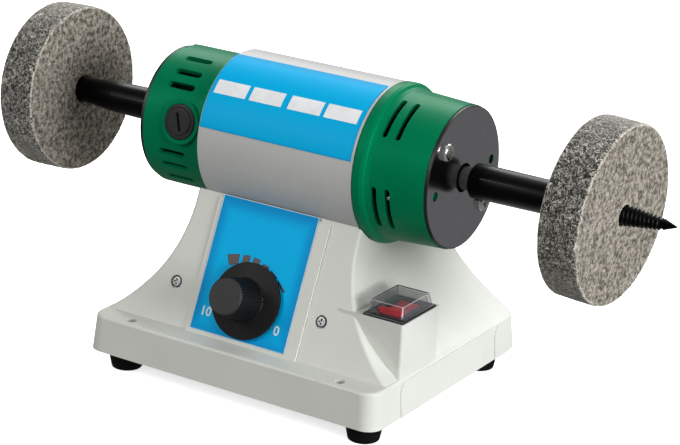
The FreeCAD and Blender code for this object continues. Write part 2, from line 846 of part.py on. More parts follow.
def make_bottom_plate():
    gap = housing_wall + plate_clearance
    plate = tapered_block(half_length - gap, half_depth - gap, rim_corner_radius - housing_wall,
                          plate_z, plate_z + plate_thick, rim_draft * plate_thick / rim_height)
    holes = []
    for x, y in plate_boss_places():
        holes.append(cylinder(plate_screw_radius + hole_clearance, plate_thick + 2 * past,
                              V(x, y, plate_z - past)))
    for x, y in foot_places():
        holes.append(cylinder(foot_screw_radius + hole_clearance, plate_thick + 2 * past,
                              V(x, y, plate_z - past)))
    for sign in (-1, 1):
        holes.append(cylinder(mount_hole_radius, plate_thick + 2 * past,
                              V(sign * mount_hole_x, mount_hole_y, plate_z - past)))
    return plate.cut(holes)


def foot_places():
    return [(sx * foot_x, sy * foot_y) for sx in (-1, 1) for sy in (-1, 1)]


def make_feet():
    feet = []
    screws = []
    nuts = []
    recess_top = foot_recess_depth
    nut_z = plate_z + plate_thick
    for x, y in foot_places():
        foot = Part.makeCone(foot_bottom_radius, foot_top_radius, plate_z, V(x, y, 0))
        low = [edge for edge in foot.Edges if edge.BoundBox.ZMax < 0.01]
        foot = foot.makeFillet(foot_edge_round, low)
        foot = foot.cut(cylinder(foot_recess_radius, recess_top + past, V(x, y, -past)))
        feet.append(foot.cut(cylinder(foot_screw_radius + hole_clearance, plate_z + 2 * past,
                                      V(x, y, -past))))
        screw = pan_screw(foot_screw_head_radius, foot_screw_head_height, foot_screw_radius,
                          nut_z - recess_top + foot_nut_thick + foot_screw_past_nut)
        screw.rotate(V(0, 0, 0), V(1, 0, 0), 180)
        screw.translate(V(x, y, recess_top))
        screws.append(screw)
        nut = hex_nut(foot_nut_flats, foot_nut_thick, foot_screw_radius + thread_clearance)
        nut.translate(V(x, y, nut_z))
        nuts.append(nut)
    return feet, screws, nuts


def make_plate_screws():
    screws = []
    for x, y in plate_boss_places():
        screw = pan_screw(plate_screw_head_radius, plate_screw_head_height, plate_screw_radius,
                          plate_screw_length)
        screw.rotate(V(0, 0, 0), V(1, 0, 0), 180)
        screw.translate(V(x, y, plate_z))
        screws.append(screw)
    return screws


def make_gland():
    seat = gland_seat_y()
    inner = seat - housing_wall - gland_grip
    outer_flange = cylinder(gland_flange_radius, gland_flange_thick,
                            V(gland_x, seat, gland_z), V(0, 1, 0))
    rim = [edge for edge in outer_flange.Edges if edge.BoundBox.YMin > seat + 1]
    outer_flange = outer_flange.makeFillet(gland_edge_round, rim)
    inner_end = inner - gland_inner_thick
    neck = cylinder(gland_neck_radius, seat - inner_end, V(gland_x, inner_end, gland_z), V(0, 1, 0))
    inner_flange = cylinder(gland_inner_radius, gland_inner_thick,
                            V(gland_x, inner_end, gland_z), V(0, 1, 0))
    gland = outer_flange.fuse([neck, inner_flange])
    length = seat + gland_flange_thick - inner_end
    return gland.cut(cylinder(gland_bore_radius, length + 2 * past,
                              V(gland_x, inner_end - past, gland_z), V(0, 1, 0)))


def make_knob():
    """Knob on +Z from the panel's face, with its bore for the shaft."""
    base = knob_gap
    top = knob_height
    rim_inside = knob_skirt_radius - knob_rim_wall
    grip_foot = base + knob_skirt_thick + pointer_height
    outline = [
        V(0, 0, base + knob_underside),
        V(rim_inside, 0, base + knob_underside),
        V(rim_inside, 0, base),
        V(knob_skirt_radius, 0, base),
        V(knob_skirt_radius, 0, base + knob_skirt_edge),
        V(knob_grip_radius + pointer_height, 0, base + knob_skirt_thick),
        V(knob_grip_radius, 0, grip_foot),
        V(knob_cap_radius, 0, top - knob_cap_edge),
        V(knob_cap_radius - knob_cap_edge, 0, top),
        V(0, 0, top),
    ]
    knob = Part.Face(Part.makePolygon(outline + [outline[0]])).revolve(V(0, 0, 0), V(0, 0, 1), 360)
    flutes = []
    lean = math.degrees(math.atan((knob_grip_radius - knob_cap_radius) / (top - grip_foot)))
    for index in range(knob_flutes):
        flute = Part.makeBox(knob_flute_depth + past, knob_flute_width, top - grip_foot + past,
                             V(knob_grip_radius - knob_flute_depth, -knob_flute_width / 2,
                               grip_foot))
        flute.rotate(V(knob_grip_radius, 0, grip_foot), V(0, 1, 0), -lean)
        flute.rotate(V(0, 0, 0), V(0, 0, 1), 360.0 * index / knob_flutes)
        flutes.append(flute)
    knob = knob.cut(flutes)
    # hollow round the nut, and the bore for the shaft
    nut_room = pot_nut_flats / 2 / math.cos(math.radians(30)) + nut_room_clearance
    knob = knob.cut([cylinder(nut_room, pot_bush_proud + nut_room_clearance, V(0, 0, 0)),
                     cylinder(pot_shaft_radius + shaft_fit, pot_shaft_length, V(0, 0, base))])
    # two raised lines on the skirt are its pointer
    slope_down = math.degrees(math.atan((knob_skirt_thick - knob_skirt_edge)
                                        / (knob_skirt_radius - knob_grip_radius)))
    for side in (-1, 1):
        line = Part.makeBox(pointer_length, pointer_width, 2 * pointer_height,
                            V(0, side * pointer_spacing / 2 - pointer_width / 2, -pointer_height))
        line.rotate(V(0, 0, 0), V(0, 1, 0), slope_down)
        line.translate(V(knob_grip_radius, 0, base + knob_skirt_thick))
        knob = knob.fuse(line)
    knob.rotate(V(0, 0, 0), V(0, 0, 1), knob_rest_deg)
    return on_wall(knob, knob_x, knob_s, label_face)


def make_panel_parts():
    label = wall_block(label_left_x, label_right_x, label_low_s, label_high_s,
                       pad_thick, pad_thick + label_thick)
    label = label.cut(along_x(saddle_radius + label_gap, -rim_length, rim_length))
    hole = cylinder(pot_bush_radius + hole_clearance, label_face + 2 * past, V(0, 0, -past))
    label = label.cut(on_wall(hole, knob_x, knob_s))

    pot_rear = -housing_wall - pot_body_depth
    body = cylinder(pot_body_radius, pot_body_depth, V(0, 0, pot_rear))
    bush_top = label_face + pot_bush_proud
    bush = cylinder(pot_bush_radius, bush_top + housing_wall, V(0, 0, -housing_wall))
    shaft_low = pot_rear + pot_floor
    shaft_hole = cylinder(pot_shaft_radius + pot_shaft_clearance, bush_top - shaft_low + past,
                          V(0, 0, shaft_low))
    pot = body.fuse(bush).cut(shaft_hole)
    leg_y = -pot_body_radius + pot_leg_in
    leg_end = board_back - pot_leg_past_board
    for x in pot_leg_xs:
        pot = pot.fuse(Part.makeBox(pot_leg_width, pot_leg_thick, pot_rear - leg_end + past,
                                    V(x - pot_leg_width / 2, leg_y, leg_end)))
    shaft_top = label_face + knob_gap + pot_shaft_length - knob_underside
    shaft_foot = shaft_low + pot_shaft_clearance
    shaft = cylinder(pot_shaft_radius, shaft_top - shaft_foot, V(0, 0, shaft_foot))
    washer = cylinder(pot_washer_radius, pot_washer_thick, V(0, 0, label_face))
    washer = washer.cut(cylinder(pot_bush_radius + thread_clearance, pot_washer_thick + 2 * past,
                                 V(0, 0, label_face - past)))
    nut = hex_nut(pot_nut_flats, pot_nut_thick, pot_bush_radius + thread_clearance)
    nut.translate(V(0, 0, label_face + pot_washer_thick))
    placed = [on_wall(shape, knob_x, knob_s) for shape in (pot, shaft, washer, nut)]
    return [label] + placed


def make_board_parts():
    screws_x = board_screw_places()
    board = wall_block(screws_x[0] - board_margin_x, screws_x[1] + board_margin_x,
                       board_low_s, board_high_s, board_back, -board_depth)
    cuts = [on_wall(cylinder(case_screw_shank_radius + hole_clearance, board_thick + 2 * past,
                             V(0, 0, board_back - past)), x, knob_s) for x in screws_x]
    leg_y = -pot_body_radius + pot_leg_in
    for x in pot_leg_xs:
        leg_hole = Part.makeBox(pot_leg_width + 2 * hole_clearance, pot_leg_thick + 2 * hole_clearance,
                                board_thick + 2 * past,
                                V(x - pot_leg_width / 2 - hole_clearance, leg_y - hole_clearance,
                                  board_back - past))
        cuts.append(on_wall(leg_hole, knob_x, knob_s))
    board = board.cut(cuts)
    screws = []
    nuts = []
    for x in screws_x:
        screw = pan_screw(case_screw_head_radius, case_screw_head_height, case_screw_shank_radius,
                          case_screw_length)
        screws.append(on_wall(screw, x, knob_s, -case_screw_recess_depth))
        nut = hex_nut(case_screw_nut_flats, case_screw_nut_thick,
                      case_screw_shank_radius + thread_clearance)
        nuts.append(on_wall(nut, x, knob_s, board_back - case_screw_nut_thick))

    def behind(x0, x1, s0, s1, depth):
        return wall_block(x0, x1, s0, s1, board_back - depth, board_back)

    sink_face = heat_sink_x + heat_sink_thick
    heat_sink = behind(heat_sink_x, sink_face, heat_sink_low_s, heat_sink_high_s, heat_sink_depth)
    fins = []
    for k in range(heat_sink_fins):
        low = heat_sink_low_s + past + fin_pitch * k
        fins.append(behind(heat_sink_x - fin_length, heat_sink_x, low, low + fin_thick,
                           heat_sink_depth - past))
    heat_sink = heat_sink.fuse(fins)
    triac = behind(sink_face + triac_gap, sink_face + triac_gap + triac_thick,
                   triac_low_s, triac_high_s, triac_depth)
    capacitor = behind(capacitor_left_x, capacitor_right_x, capacitor_low_s, capacitor_high_s,
                       capacitor_depth)
    capacitor = capacitor.makeFillet(capacitor_edge_round, capacitor.Edges)
    choke = cylinder(choke_radius, choke_depth, V(0, 0, board_back - choke_depth))
    choke = choke.cut(cylinder(choke_hole_radius, choke_depth + 2 * past,
                               V(0, 0, board_back - choke_depth - past)))
    return board, screws, nuts, heat_sink, triac, capacitor, on_wall(choke, choke_x, knob_s)


def make_switch():
    top = pedestal_z
    half_l = bezel_length / 2
    half_w = bezel_width / 2
    bezel = Part.makeBox(bezel_width, bezel_length, bezel_thick,
                         V(switch_x - half_w, switch_y - half_l, top))
    upper = [edge for edge in bezel.Edges if edge.BoundBox.ZMin > top + bezel_thick - 0.01]
    bezel = bezel.makeFillet(bezel_edge_round, upper)
    body = Part.makeBox(switch_body_width, switch_body_length, switch_body_depth,
                        V(switch_x - switch_body_width / 2, switch_y - switch_body_length / 2,
                          top - switch_body_depth))
    body = body.fuse(bezel)
    well_half_w = rocker_width / 2 + rocker_clearance
    well_half_l = rocker_length / 2 + 2 * rocker_clearance
    well = box(switch_x - well_half_w, switch_x + well_half_w,
               switch_y - well_half_l, switch_y + well_half_l,
               top - switch_well_depth, top + bezel_thick + past)
    body = body.cut(well)
    # two trunnions carry the rocker
    for sign in (-1, 1):
        pin = cylinder(trunnion_radius, trunnion_length,
                       V(switch_x + sign * well_half_w, switch_y, rocker_pivot_z), V(-sign, 0, 0))
        body = body.fuse(pin)
    return body, make_rocker(), make_boot(), make_terminals()


def make_rocker():
    """Rocker tilted to its rest, front end up, with grip ribs near both ends."""
    half = rocker_length / 2
    low_half = half - rocker_end_lean
    foot_half = rocker_foot_width / 2
    dip = rocker_rise - rocker_dip
    side = [
        Part.Arc(V(0, -half, rocker_rise), V(0, 0, dip), V(0, half, rocker_rise)).toShape(),
        Part.makeLine(V(0, half, rocker_rise), V(0, low_half, -rocker_shoulder)),
        Part.makeLine(V(0, low_half, -rocker_shoulder), V(0, foot_half, -rocker_drop)),
        Part.makeLine(V(0, foot_half, -rocker_drop), V(0, -foot_half, -rocker_drop)),
        Part.makeLine(V(0, -foot_half, -rocker_drop), V(0, -low_half, -rocker_shoulder)),
        Part.makeLine(V(0, -low_half, -rocker_shoulder), V(0, -half, rocker_rise)),
    ]
    rocker = Part.Face(Part.Wire(side)).extrude(V(rocker_width, 0, 0))
    rocker.translate(V(-rocker_width / 2, 0, 0))
    rocker = rocker.cut(cylinder(trunnion_radius + trunnion_clearance, rocker_width + 2 * past,
                                 V(-rocker_width / 2 - past, 0, 0), V(1, 0, 0)))
    ribs = []
    for sign in (-1, 1):
        for step in range(rocker_ribs):
            from_middle = half - rocker_rib_inset - rocker_rib_pitch * step
            surface = dip + rocker_dip * (from_middle / half) ** 2
            ribs.append(Part.makeBox(rocker_width - 2 * rocker_rib_inset, rocker_rib_width,
                                     2 * rocker_rib_height,
                                     V(-rocker_width / 2 + rocker_rib_inset,
                                       sign * from_middle - rocker_rib_width / 2,
                                       surface - rocker_rib_height)))
    rocker = rocker.fuse(ribs)
    rocker.rotate(V(0, 0, 0), V(1, 0, 0), -rocker_tilt_deg)
    rocker.translate(V(switch_x, switch_y, rocker_pivot_z))
    return rocker


def make_boot():
    """Clear splash cover, a hollow box with leaning sides over the rocker."""
    low = pedestal_z + bezel_thick
    outer = lofted_box(boot_base_width, boot_base_length, boot_top_width, boot_top_length,
                       low, boot_height)
    inner = lofted_box(boot_base_width - 2 * boot_wall, boot_base_length - 2 * boot_wall,
                       boot_top_width - 2 * boot_wall, boot_top_length - 2 * boot_wall,
                       low, boot_height - boot_wall)
    upper = [edge for edge in outer.Edges
             if edge.BoundBox.ZMin > low + past or edge.BoundBox.ZLength > boot_height / 2]
    return outer.makeFillet(boot_edge_round, upper).cut(inner)


def make_terminals():
    under = pedestal_z - switch_body_depth
    return [Part.makeBox(terminal_width, terminal_thick, terminal_length,
                         V(switch_x + terminal_offset, switch_y + y, under - terminal_length))
            for y in terminal_ys]


def lofted_box(low_w, low_l, high_w, high_l, z, height):
    low = rounded_outline(low_w / 2, low_l / 2, boot_corner, z)
    high = rounded_outline(high_w / 2, high_l / 2, boot_corner, z + height)
    for wire in (low, high):
        wire.translate(V(switch_x, switch_y, 0))
    return Part.makeLoft([low, high], True, True)


def make_shell_parts():
    shell = along_x(shell_radius, shell_left_x, shell_right_x, shell_inner)
    cuts = []
    through = shell_wall + 2 * past
    for deg in saddle_screw_angles():
        for x in (-saddle_screw_x, saddle_screw_x):
            hole = cylinder(saddle_screw_radius + hole_clearance, through, V(0, 0, -shell_wall - past))
            cuts.append(face_motor_radius(hole, deg, shell_radius, x))
    cuts.append(face_motor_radius(cylinder(lead_hole_radius, through, V(0, 0, -shell_wall - past)),
                                  -90, shell_radius, lead_hole_x))
    shell = shell.cut(cuts)
    under = shell_radius + name_label_gap
    label = sector(under, under + name_label_thick, name_label_left_x, name_label_right_x,
                   name_label_low_deg, name_label_high_deg)
    screws = []
    for deg in saddle_screw_angles():
        for x in (-saddle_screw_x, saddle_screw_x):
            screw = pan_screw(saddle_screw_head_radius, saddle_screw_head_height,
                              saddle_screw_radius, saddle_screw_length)
            screws.append(face_motor_radius(screw, deg, saddle_radius + housing_wall, x))
    return shell, label, screws


def vent_slot_axial(deg):
    """Round-ended slot along the motor, cut straight in."""
    length = axial_vent_right_x - axial_vent_left_x - axial_vent_width
    half = axial_vent_width / 2
    depth = bell_wall + left_vent_extra
    slot = Part.makeBox(length, axial_vent_width, depth + past, V(-length / 2, -half, -depth))
    for end in (-length / 2, length / 2):
        slot = slot.fuse(cylinder(half, depth + past, V(end, 0, -depth)))
    middle = (axial_vent_left_x + axial_vent_right_x) / 2
    return face_motor_radius(slot, deg, left_bell_radius, middle)


def cap_angles():
    return [cap_deg, cap_deg + 180]


def make_left_bell():
    outer = left_bell_radius
    end = left_bell_end_x
    bell = along_x(outer, end, shell_left_x)
    rim = [edge for edge in bell.Edges if edge.BoundBox.XMax < end + 0.01]
    bell = bell.makeFillet(left_bell_round, rim)
    groove_end = shell_left_x + left_bell_groove
    bell = bell.fuse(along_x(outer, shell_left_x - past, groove_end))
    spigot = along_x(shell_inner - bell_fit, groove_end, shell_left_x + bell_spigot)
    bell = bell.fuse(spigot)
    bell = bell.cut(along_x(outer - bell_wall, end + bell_end_wall, shell_left_x + bell_spigot + past))
    hub_end = left_bearing_x + bearing_width
    hub = along_x(bearing_outer_radius + bearing_hub_wall, end + bell_end_wall / 2, hub_end)
    bosses = [hub]
    for deg in cap_angles():
        boss = cylinder(brush_boss_radius, brush_boss_depth + brush_boss_proud,
                        V(0, 0, -brush_boss_depth))
        bosses.append(face_motor_radius(boss, deg, outer, brush_x))
    bell = bell.fuse(bosses)
    cuts = [along_x(bell_shaft_hole, end - past, hub_end + past),
            along_x(bearing_outer_radius + shaft_fit, left_bearing_x, hub_end + past)]
    for base_deg in cap_angles():
        for step in axial_vent_degs:
            for sign in (-1, 1):
                cuts.append(vent_slot_axial(base_deg + sign * step))
        hole = cylinder(collar_radius + brush_fit, 2 * brush_boss_depth, V(0, 0, -brush_boss_depth))
        cuts.append(face_motor_radius(hole, base_deg, outer, brush_x))
    for deg in tie_bolt_angles():
        cuts.append(cylinder(tie_bolt_radius + hole_clearance, bell_end_wall + 2 * past,
                             at_angle(deg, tie_bolt_at, end - past), V(1, 0, 0)))
        cuts.append(cylinder(tie_bolt_head_radius + hole_clearance,
                             tie_bolt_head_height + tie_bolt_head_sunk + past,
                             at_angle(deg, tie_bolt_at, end - past), V(1, 0, 0)))
    for deg in end_screw_angles():
        cuts.append(cylinder(end_screw_shank_radius + thread_clearance, end_screw_length + past,
                             at_angle(deg, end_screw_radius_at, end - past), V(1, 0, 0)))
    notch = Part.makeBox(2 * bell_notch_length, bell_notch_width, 2 * bell_wall,
                         V(-bell_notch_length, -bell_notch_width / 2, -bell_wall))
    cuts.append(face_motor_radius(notch, bell_notch_deg, outer, end))
    return bell.cut(cuts).removeSplitter()


def end_screw_angles():
    return [end_screw_deg, end_screw_deg + 180]


def tie_bolt_angles():
    return [tie_bolt_deg, tie_bolt_deg + 180]


def make_tie_bolts():
    """Long bolts from the left bell through the stator's open sides into the right bell."""
    head_x = left_bell_end_x + tie_bolt_head_sunk
    tip = right_bell_end_x - tie_bolt_thread_stop
    bolts = []
    for deg in tie_bolt_angles():
        length = tip - head_x - tie_bolt_head_height
        bolt = pan_screw(tie_bolt_head_radius, tie_bolt_head_height, tie_bolt_radius, length)
        bolt.rotate(V(0, 0, 0), V(0, 1, 0), -90)
        bolt.translate(at_angle(deg, tie_bolt_at, head_x + tie_bolt_head_height))
        bolts.append(bolt)
    return bolts


def make_leads():
    """Two insulated leads from the motor down through the saddle to the circuit board."""
    normal = V(0, -math.cos(slope), math.sin(slope))
    up = V(0, math.sin(slope), math.cos(slope))
    leads = []
    for offset in (-lead_spacing / 2, lead_spacing / 2):
        x = lead_hole_x + offset
        end = V(x, front_wall_foot_y, ledge_z) + up * lead_bend_s + normal * board_back
        top = V(x, 0, axis_z - lead_top)
        back = (lead_bend_y - end.y) / normal.y
        second = end + normal * back
        first = V(x, 0, second.z + lead_bend_rise)
        leads.append(bent_wire([top, first, second, end], lead_radius))
    return leads


def bent_wire(points, radius):
    """Round wire on straight runs joined by tangent arcs as large as the runs allow."""
    edges = []
    last = points[0]
    for before, corner, after in zip(points, points[1:], points[2:]):
        into = (corner - before).normalize()
        out = (after - corner).normalize()
        setback = lead_bend_share * min((corner - before).Length, (after - corner).Length)
        start = corner - into * setback
        finish = corner + out * setback
        turn = math.acos(max(-1.0, min(1.0, into.dot(out))))
        bend = setback / math.tan(turn / 2)
        inward = (out - into).normalize()
        middle = corner + inward * (bend / math.cos(turn / 2) - bend)
        edges.append(Part.makeLine(last, start))
        edges.append(Part.Arc(start, middle, finish).toShape())
        last = finish
    edges.append(Part.makeLine(last, points[-1]))
    section = Part.Wire([Part.Circle(points[0], points[1] - points[0], radius).toShape()])
    return Part.Wire(edges).makePipeShell([section], True, False)


def right_bell_outline():
    """Half outline of the right bell, outside then inside."""
    start = shell_right_x
    bead_end = start + right_bead_width
    drop = bead_end + bead_fall
    fall = (right_bell_start_radius - right_bell_end_radius) / (right_bell_end_x - drop)
    inner_start = right_bell_start_radius - bell_wall
    inner_end = inner_start - fall * (right_bell_end_x - bell_end_wall - drop)
    spigot = shell_inner - bell_fit
    return [
        (start - bell_spigot, spigot),
        (start, spigot),
        (start, right_bead_radius - bead_edge),
        (start + bead_edge, right_bead_radius),
        (bead_end - 3 * bead_edge, right_bead_radius),
        (bead_end - bead_edge, right_bead_radius - bead_edge),
        (bead_end, right_bead_radius - (right_bead_radius - right_bell_start_radius) * 0.7),
        (drop, right_bell_start_radius),
        (right_bell_end_x, right_bell_end_radius),
        (right_bell_end_x, bell_shaft_hole),
        (right_bell_end_x - bell_end_wall, bell_shaft_hole),
        (right_bell_end_x - bell_end_wall, inner_end),
        (drop, inner_start),
        (start - bell_spigot, inner_start),
    ]


def vent_slot_round(x, from_deg, to_deg):
    half = round_vent_width / 2
    inside = right_bell_start_radius - bell_wall - right_vent_extra
    outside = right_bead_radius + past
    slot = sector(inside, outside, x - half, x + half, from_deg, to_deg)
    ends = [face_motor_radius(cylinder(half, outside - inside, V(0, 0, 0)), deg, inside, x)
            for deg in (from_deg, to_deg)]
    return slot.fuse(ends)


def make_right_bell():
    bell = turned(right_bell_outline())
    hub_start = right_bearing_x
    wall_face = right_bell_end_x - bell_end_wall
    hub = along_x(bearing_outer_radius + bearing_hub_wall, hub_start, wall_face + bell_end_wall / 2)
    bell = bell.fuse(hub)
    cuts = [along_x(bearing_outer_radius + shaft_fit, hub_start - past, hub_start + bearing_width),
            along_x(bell_shaft_hole, hub_start - past, right_bell_end_x + past)]
    for x in round_vent_xs:
        for base in (0, 180):
            for span in round_vent_spans:
                cuts.append(vent_slot_round(x, base + span[0], base + span[1]))
    for deg in tie_bolt_angles():
        cuts.append(cylinder(tie_bolt_radius + thread_clearance,
                             bell_end_wall + tie_bolt_head_sunk + past - tie_bolt_thread_stop,
                             at_angle(deg, tie_bolt_at, wall_face - past), V(1, 0, 0)))
    for deg in end_screw_angles():
        cuts.append(cylinder(end_screw_shank_radius + thread_clearance, end_screw_length + past,
                             at_angle(deg, end_screw_radius_at, right_bell_end_x - end_screw_length),
                             V(1, 0, 0)))
    return bell.cut(cuts).removeSplitter()


def make_end_plates():
    left = along_x(left_end_plate_radius, left_plate_x, left_bell_end_x,
                   shaft_radius + end_plate_shaft_gap)
    right = along_x(right_end_plate_radius, right_bell_end_x, right_plate_x,
                    shaft_radius + end_plate_shaft_gap)
    screws = []
    plates = []
    for plate, face_x, facing in ((left, left_plate_x, -1), (right, right_plate_x, 1)):
        cuts = []
        for deg in end_screw_angles():
            at = at_angle(deg, end_screw_radius_at, face_x - 2 * end_plate_thick)
            cuts.append(cylinder(end_screw_shank_radius + hole_clearance, 4 * end_plate_thick, at,
                                 V(1, 0, 0)))
            screw = pan_screw(end_screw_head_radius, end_screw_head_height,
                              end_screw_shank_radius, end_screw_length)
            screw.rotate(V(0, 0, 0), V(0, 1, 0), 90 * facing)
            screw.translate(at_angle(deg, end_screw_radius_at, face_x))
            screws.append(screw)
        for deg in (peep_hole_deg, peep_hole_deg + 180):
            at = at_angle(deg, peep_hole_at, face_x - 2 * end_plate_thick)
            cuts.append(cylinder(peep_hole_radius, 4 * end_plate_thick, at, V(1, 0, 0)))
        plates.append(plate.cut(cuts))
    return plates, screws


def make_stator():
    outer = shell_inner - stator_clearance
    core = along_x(outer, stator_left_x, stator_right_x, yoke_inner)
    pole_radius = yoke_inner - pole_depth
    poles = [sector(pole_radius, yoke_inner + past, stator_left_x, stator_right_x,
                    deg - pole_half_deg, deg + pole_half_deg) for deg in (90, 270)]
    core = core.fuse(poles)
    cuts = []
    for deg in saddle_screw_angles():
        for x in (-saddle_screw_x, saddle_screw_x):
            depth = saddle_screw_length - housing_wall - shell_wall + saddle_screw_spare
            hole = cylinder(saddle_screw_radius + thread_clearance, depth + past, V(0, 0, -depth))
            cuts.append(face_motor_radius(hole, deg, outer, x))
    for deg in (0, 180):
        # shallow channels between the poles let air through
        cuts.append(sector(outer - yoke_flat_depth, outer + past, stator_left_x - past,
                           stator_right_x + past, deg - yoke_flat_half_deg,
                           deg + yoke_flat_half_deg))
    core = core.cut(cuts).removeSplitter()
    coils = []
    coil_outer = yoke_inner - coil_clearance
    coil_inner = coil_outer - coil_thick
    for deg in (90, 270):
        band = sector(coil_inner, coil_outer, stator_left_x - coil_overhang,
                      stator_right_x + coil_overhang, deg - coil_half_deg, deg + coil_half_deg)
        window = sector(coil_inner - past, coil_outer + past, stator_left_x - coil_clearance,
                        stator_right_x + coil_clearance, deg - pole_half_deg - coil_clearance_deg,
                        deg + pole_half_deg + coil_clearance_deg)
        coils.append(band.cut(window))
    return core, coils


def make_rotor():
    shaft = along_x(shaft_radius, shaft_left_x, shaft_right_x)
    ends = [edge for edge in shaft.Edges if edge.BoundBox.XLength < 0.01]
    shaft = shaft.makeChamfer(shaft_chamfer, ends)

    on_shaft = shaft_radius + shaft_fit
    core = along_x(armature_radius, stator_left_x, stator_right_x, on_shaft)
    stack = stator_right_x - stator_left_x
    slots = []
    for index in range(armature_slots):
        deg = 360.0 * index / armature_slots
        slot = Part.makeBox(stack + 2 * past, slot_width, slot_depth + past,
                            V(stator_left_x - past, -slot_width / 2, -slot_depth))
        slots.append(face_motor_radius(slot, deg, armature_radius, 0))
    core = core.cut(slots)

    ring_outer = armature_radius - winding_below_rim
    ring_inner = armature_sleeve_radius + winding_clearance / 2
    windings = []
    spans = ((stator_left_x - winding_overhang, stator_left_x - winding_clearance),
             (stator_right_x + winding_clearance, stator_right_x + winding_overhang))
    for x0, x1 in spans:
        ring = along_x(ring_outer, x0, x1, ring_inner)
        rims = [edge for edge in ring.Edges
                if edge.BoundBox.XLength < 0.01 and edge.BoundBox.YLength > 2 * ring_inner + past]
        windings.append(ring.makeFillet(winding_edge_round, rims))
    bars = []
    bar_width = slot_width - 2 * winding_clearance
    for index in range(armature_slots):
        deg = 360.0 * index / armature_slots
        bar = Part.makeBox(stack + winding_overhang, bar_width,
                           slot_depth - winding_clearance - winding_below_rim,
                           V(stator_left_x - winding_overhang / 2, -bar_width / 2,
                             -slot_depth + winding_clearance))
        bars.append(face_motor_radius(bar, deg, armature_radius, 0))
    winding = windings[0].fuse([windings[1]] + bars)
    sleeves = [(commutator_right_x, stator_left_x),
               (stator_right_x, stator_right_x + winding_overhang + sleeve_past_winding)]
    sleeve = [along_x(armature_sleeve_radius, x0, x1, on_shaft) for x0, x1 in sleeves]

    commutator = along_x(commutator_radius, commutator_left_x, commutator_right_x, on_shaft)
    riser = along_x(commutator_radius + riser_height, commutator_right_x - riser_width,
                    commutator_right_x, on_shaft)
    commutator = commutator.fuse(riser)
    gaps = []
    for index in range(commutator_bars):
        deg = 360.0 * index / commutator_bars
        gap = Part.makeBox(commutator_right_x - commutator_left_x + 2 * past, commutator_gap,
                           commutator_gap_depth + riser_height + past,
                           V(-past, -commutator_gap / 2, -commutator_gap_depth))
        gaps.append(face_motor_radius(gap, deg, commutator_radius, commutator_left_x))
    commutator = commutator.cut(gaps)

    fan = along_x(fan_hub_radius, fan_left_x, fan_right_x)
    disc = along_x(fan_radius, fan_left_x, fan_left_x + fan_disc_thick)
    blades = []
    for index in range(fan_blades):
        blade = Part.makeBox(fan_right_x - fan_left_x - fan_blade_short, fan_blade_thick,
                             fan_radius - fan_hub_radius,
                             V(0, -fan_blade_thick / 2, fan_hub_radius - past))
        blades.append(face_motor_radius(blade, 360.0 * index / fan_blades, 0, fan_left_x))
    fan = fan.fuse([disc] + blades).cut(along_x(on_shaft, fan_left_x - past, fan_right_x + past))
    return shaft, core, winding, sleeve, commutator, fan


def make_bearing(x0):
    x1 = x0 + bearing_width
    middle = (x0 + x1) / 2
    pitch = (bearing_outer_radius + shaft_radius) / 2
    outer = along_x(bearing_outer_radius, x0, x1, bearing_outer_radius - bearing_ring)
    inner = along_x(shaft_radius + bearing_ring, x0, x1, shaft_radius + shaft_fit)
    track = Part.makeTorus(pitch, bearing_ball_radius + bearing_track_clearance,
                           V(middle, 0, axis_z), V(1, 0, 0))
    balls = [Part.makeSphere(bearing_ball_radius, at_angle(360.0 * k / bearing_balls, pitch, middle))
             for k in range(bearing_balls)]
    return outer.cut(track), inner.cut(track), balls


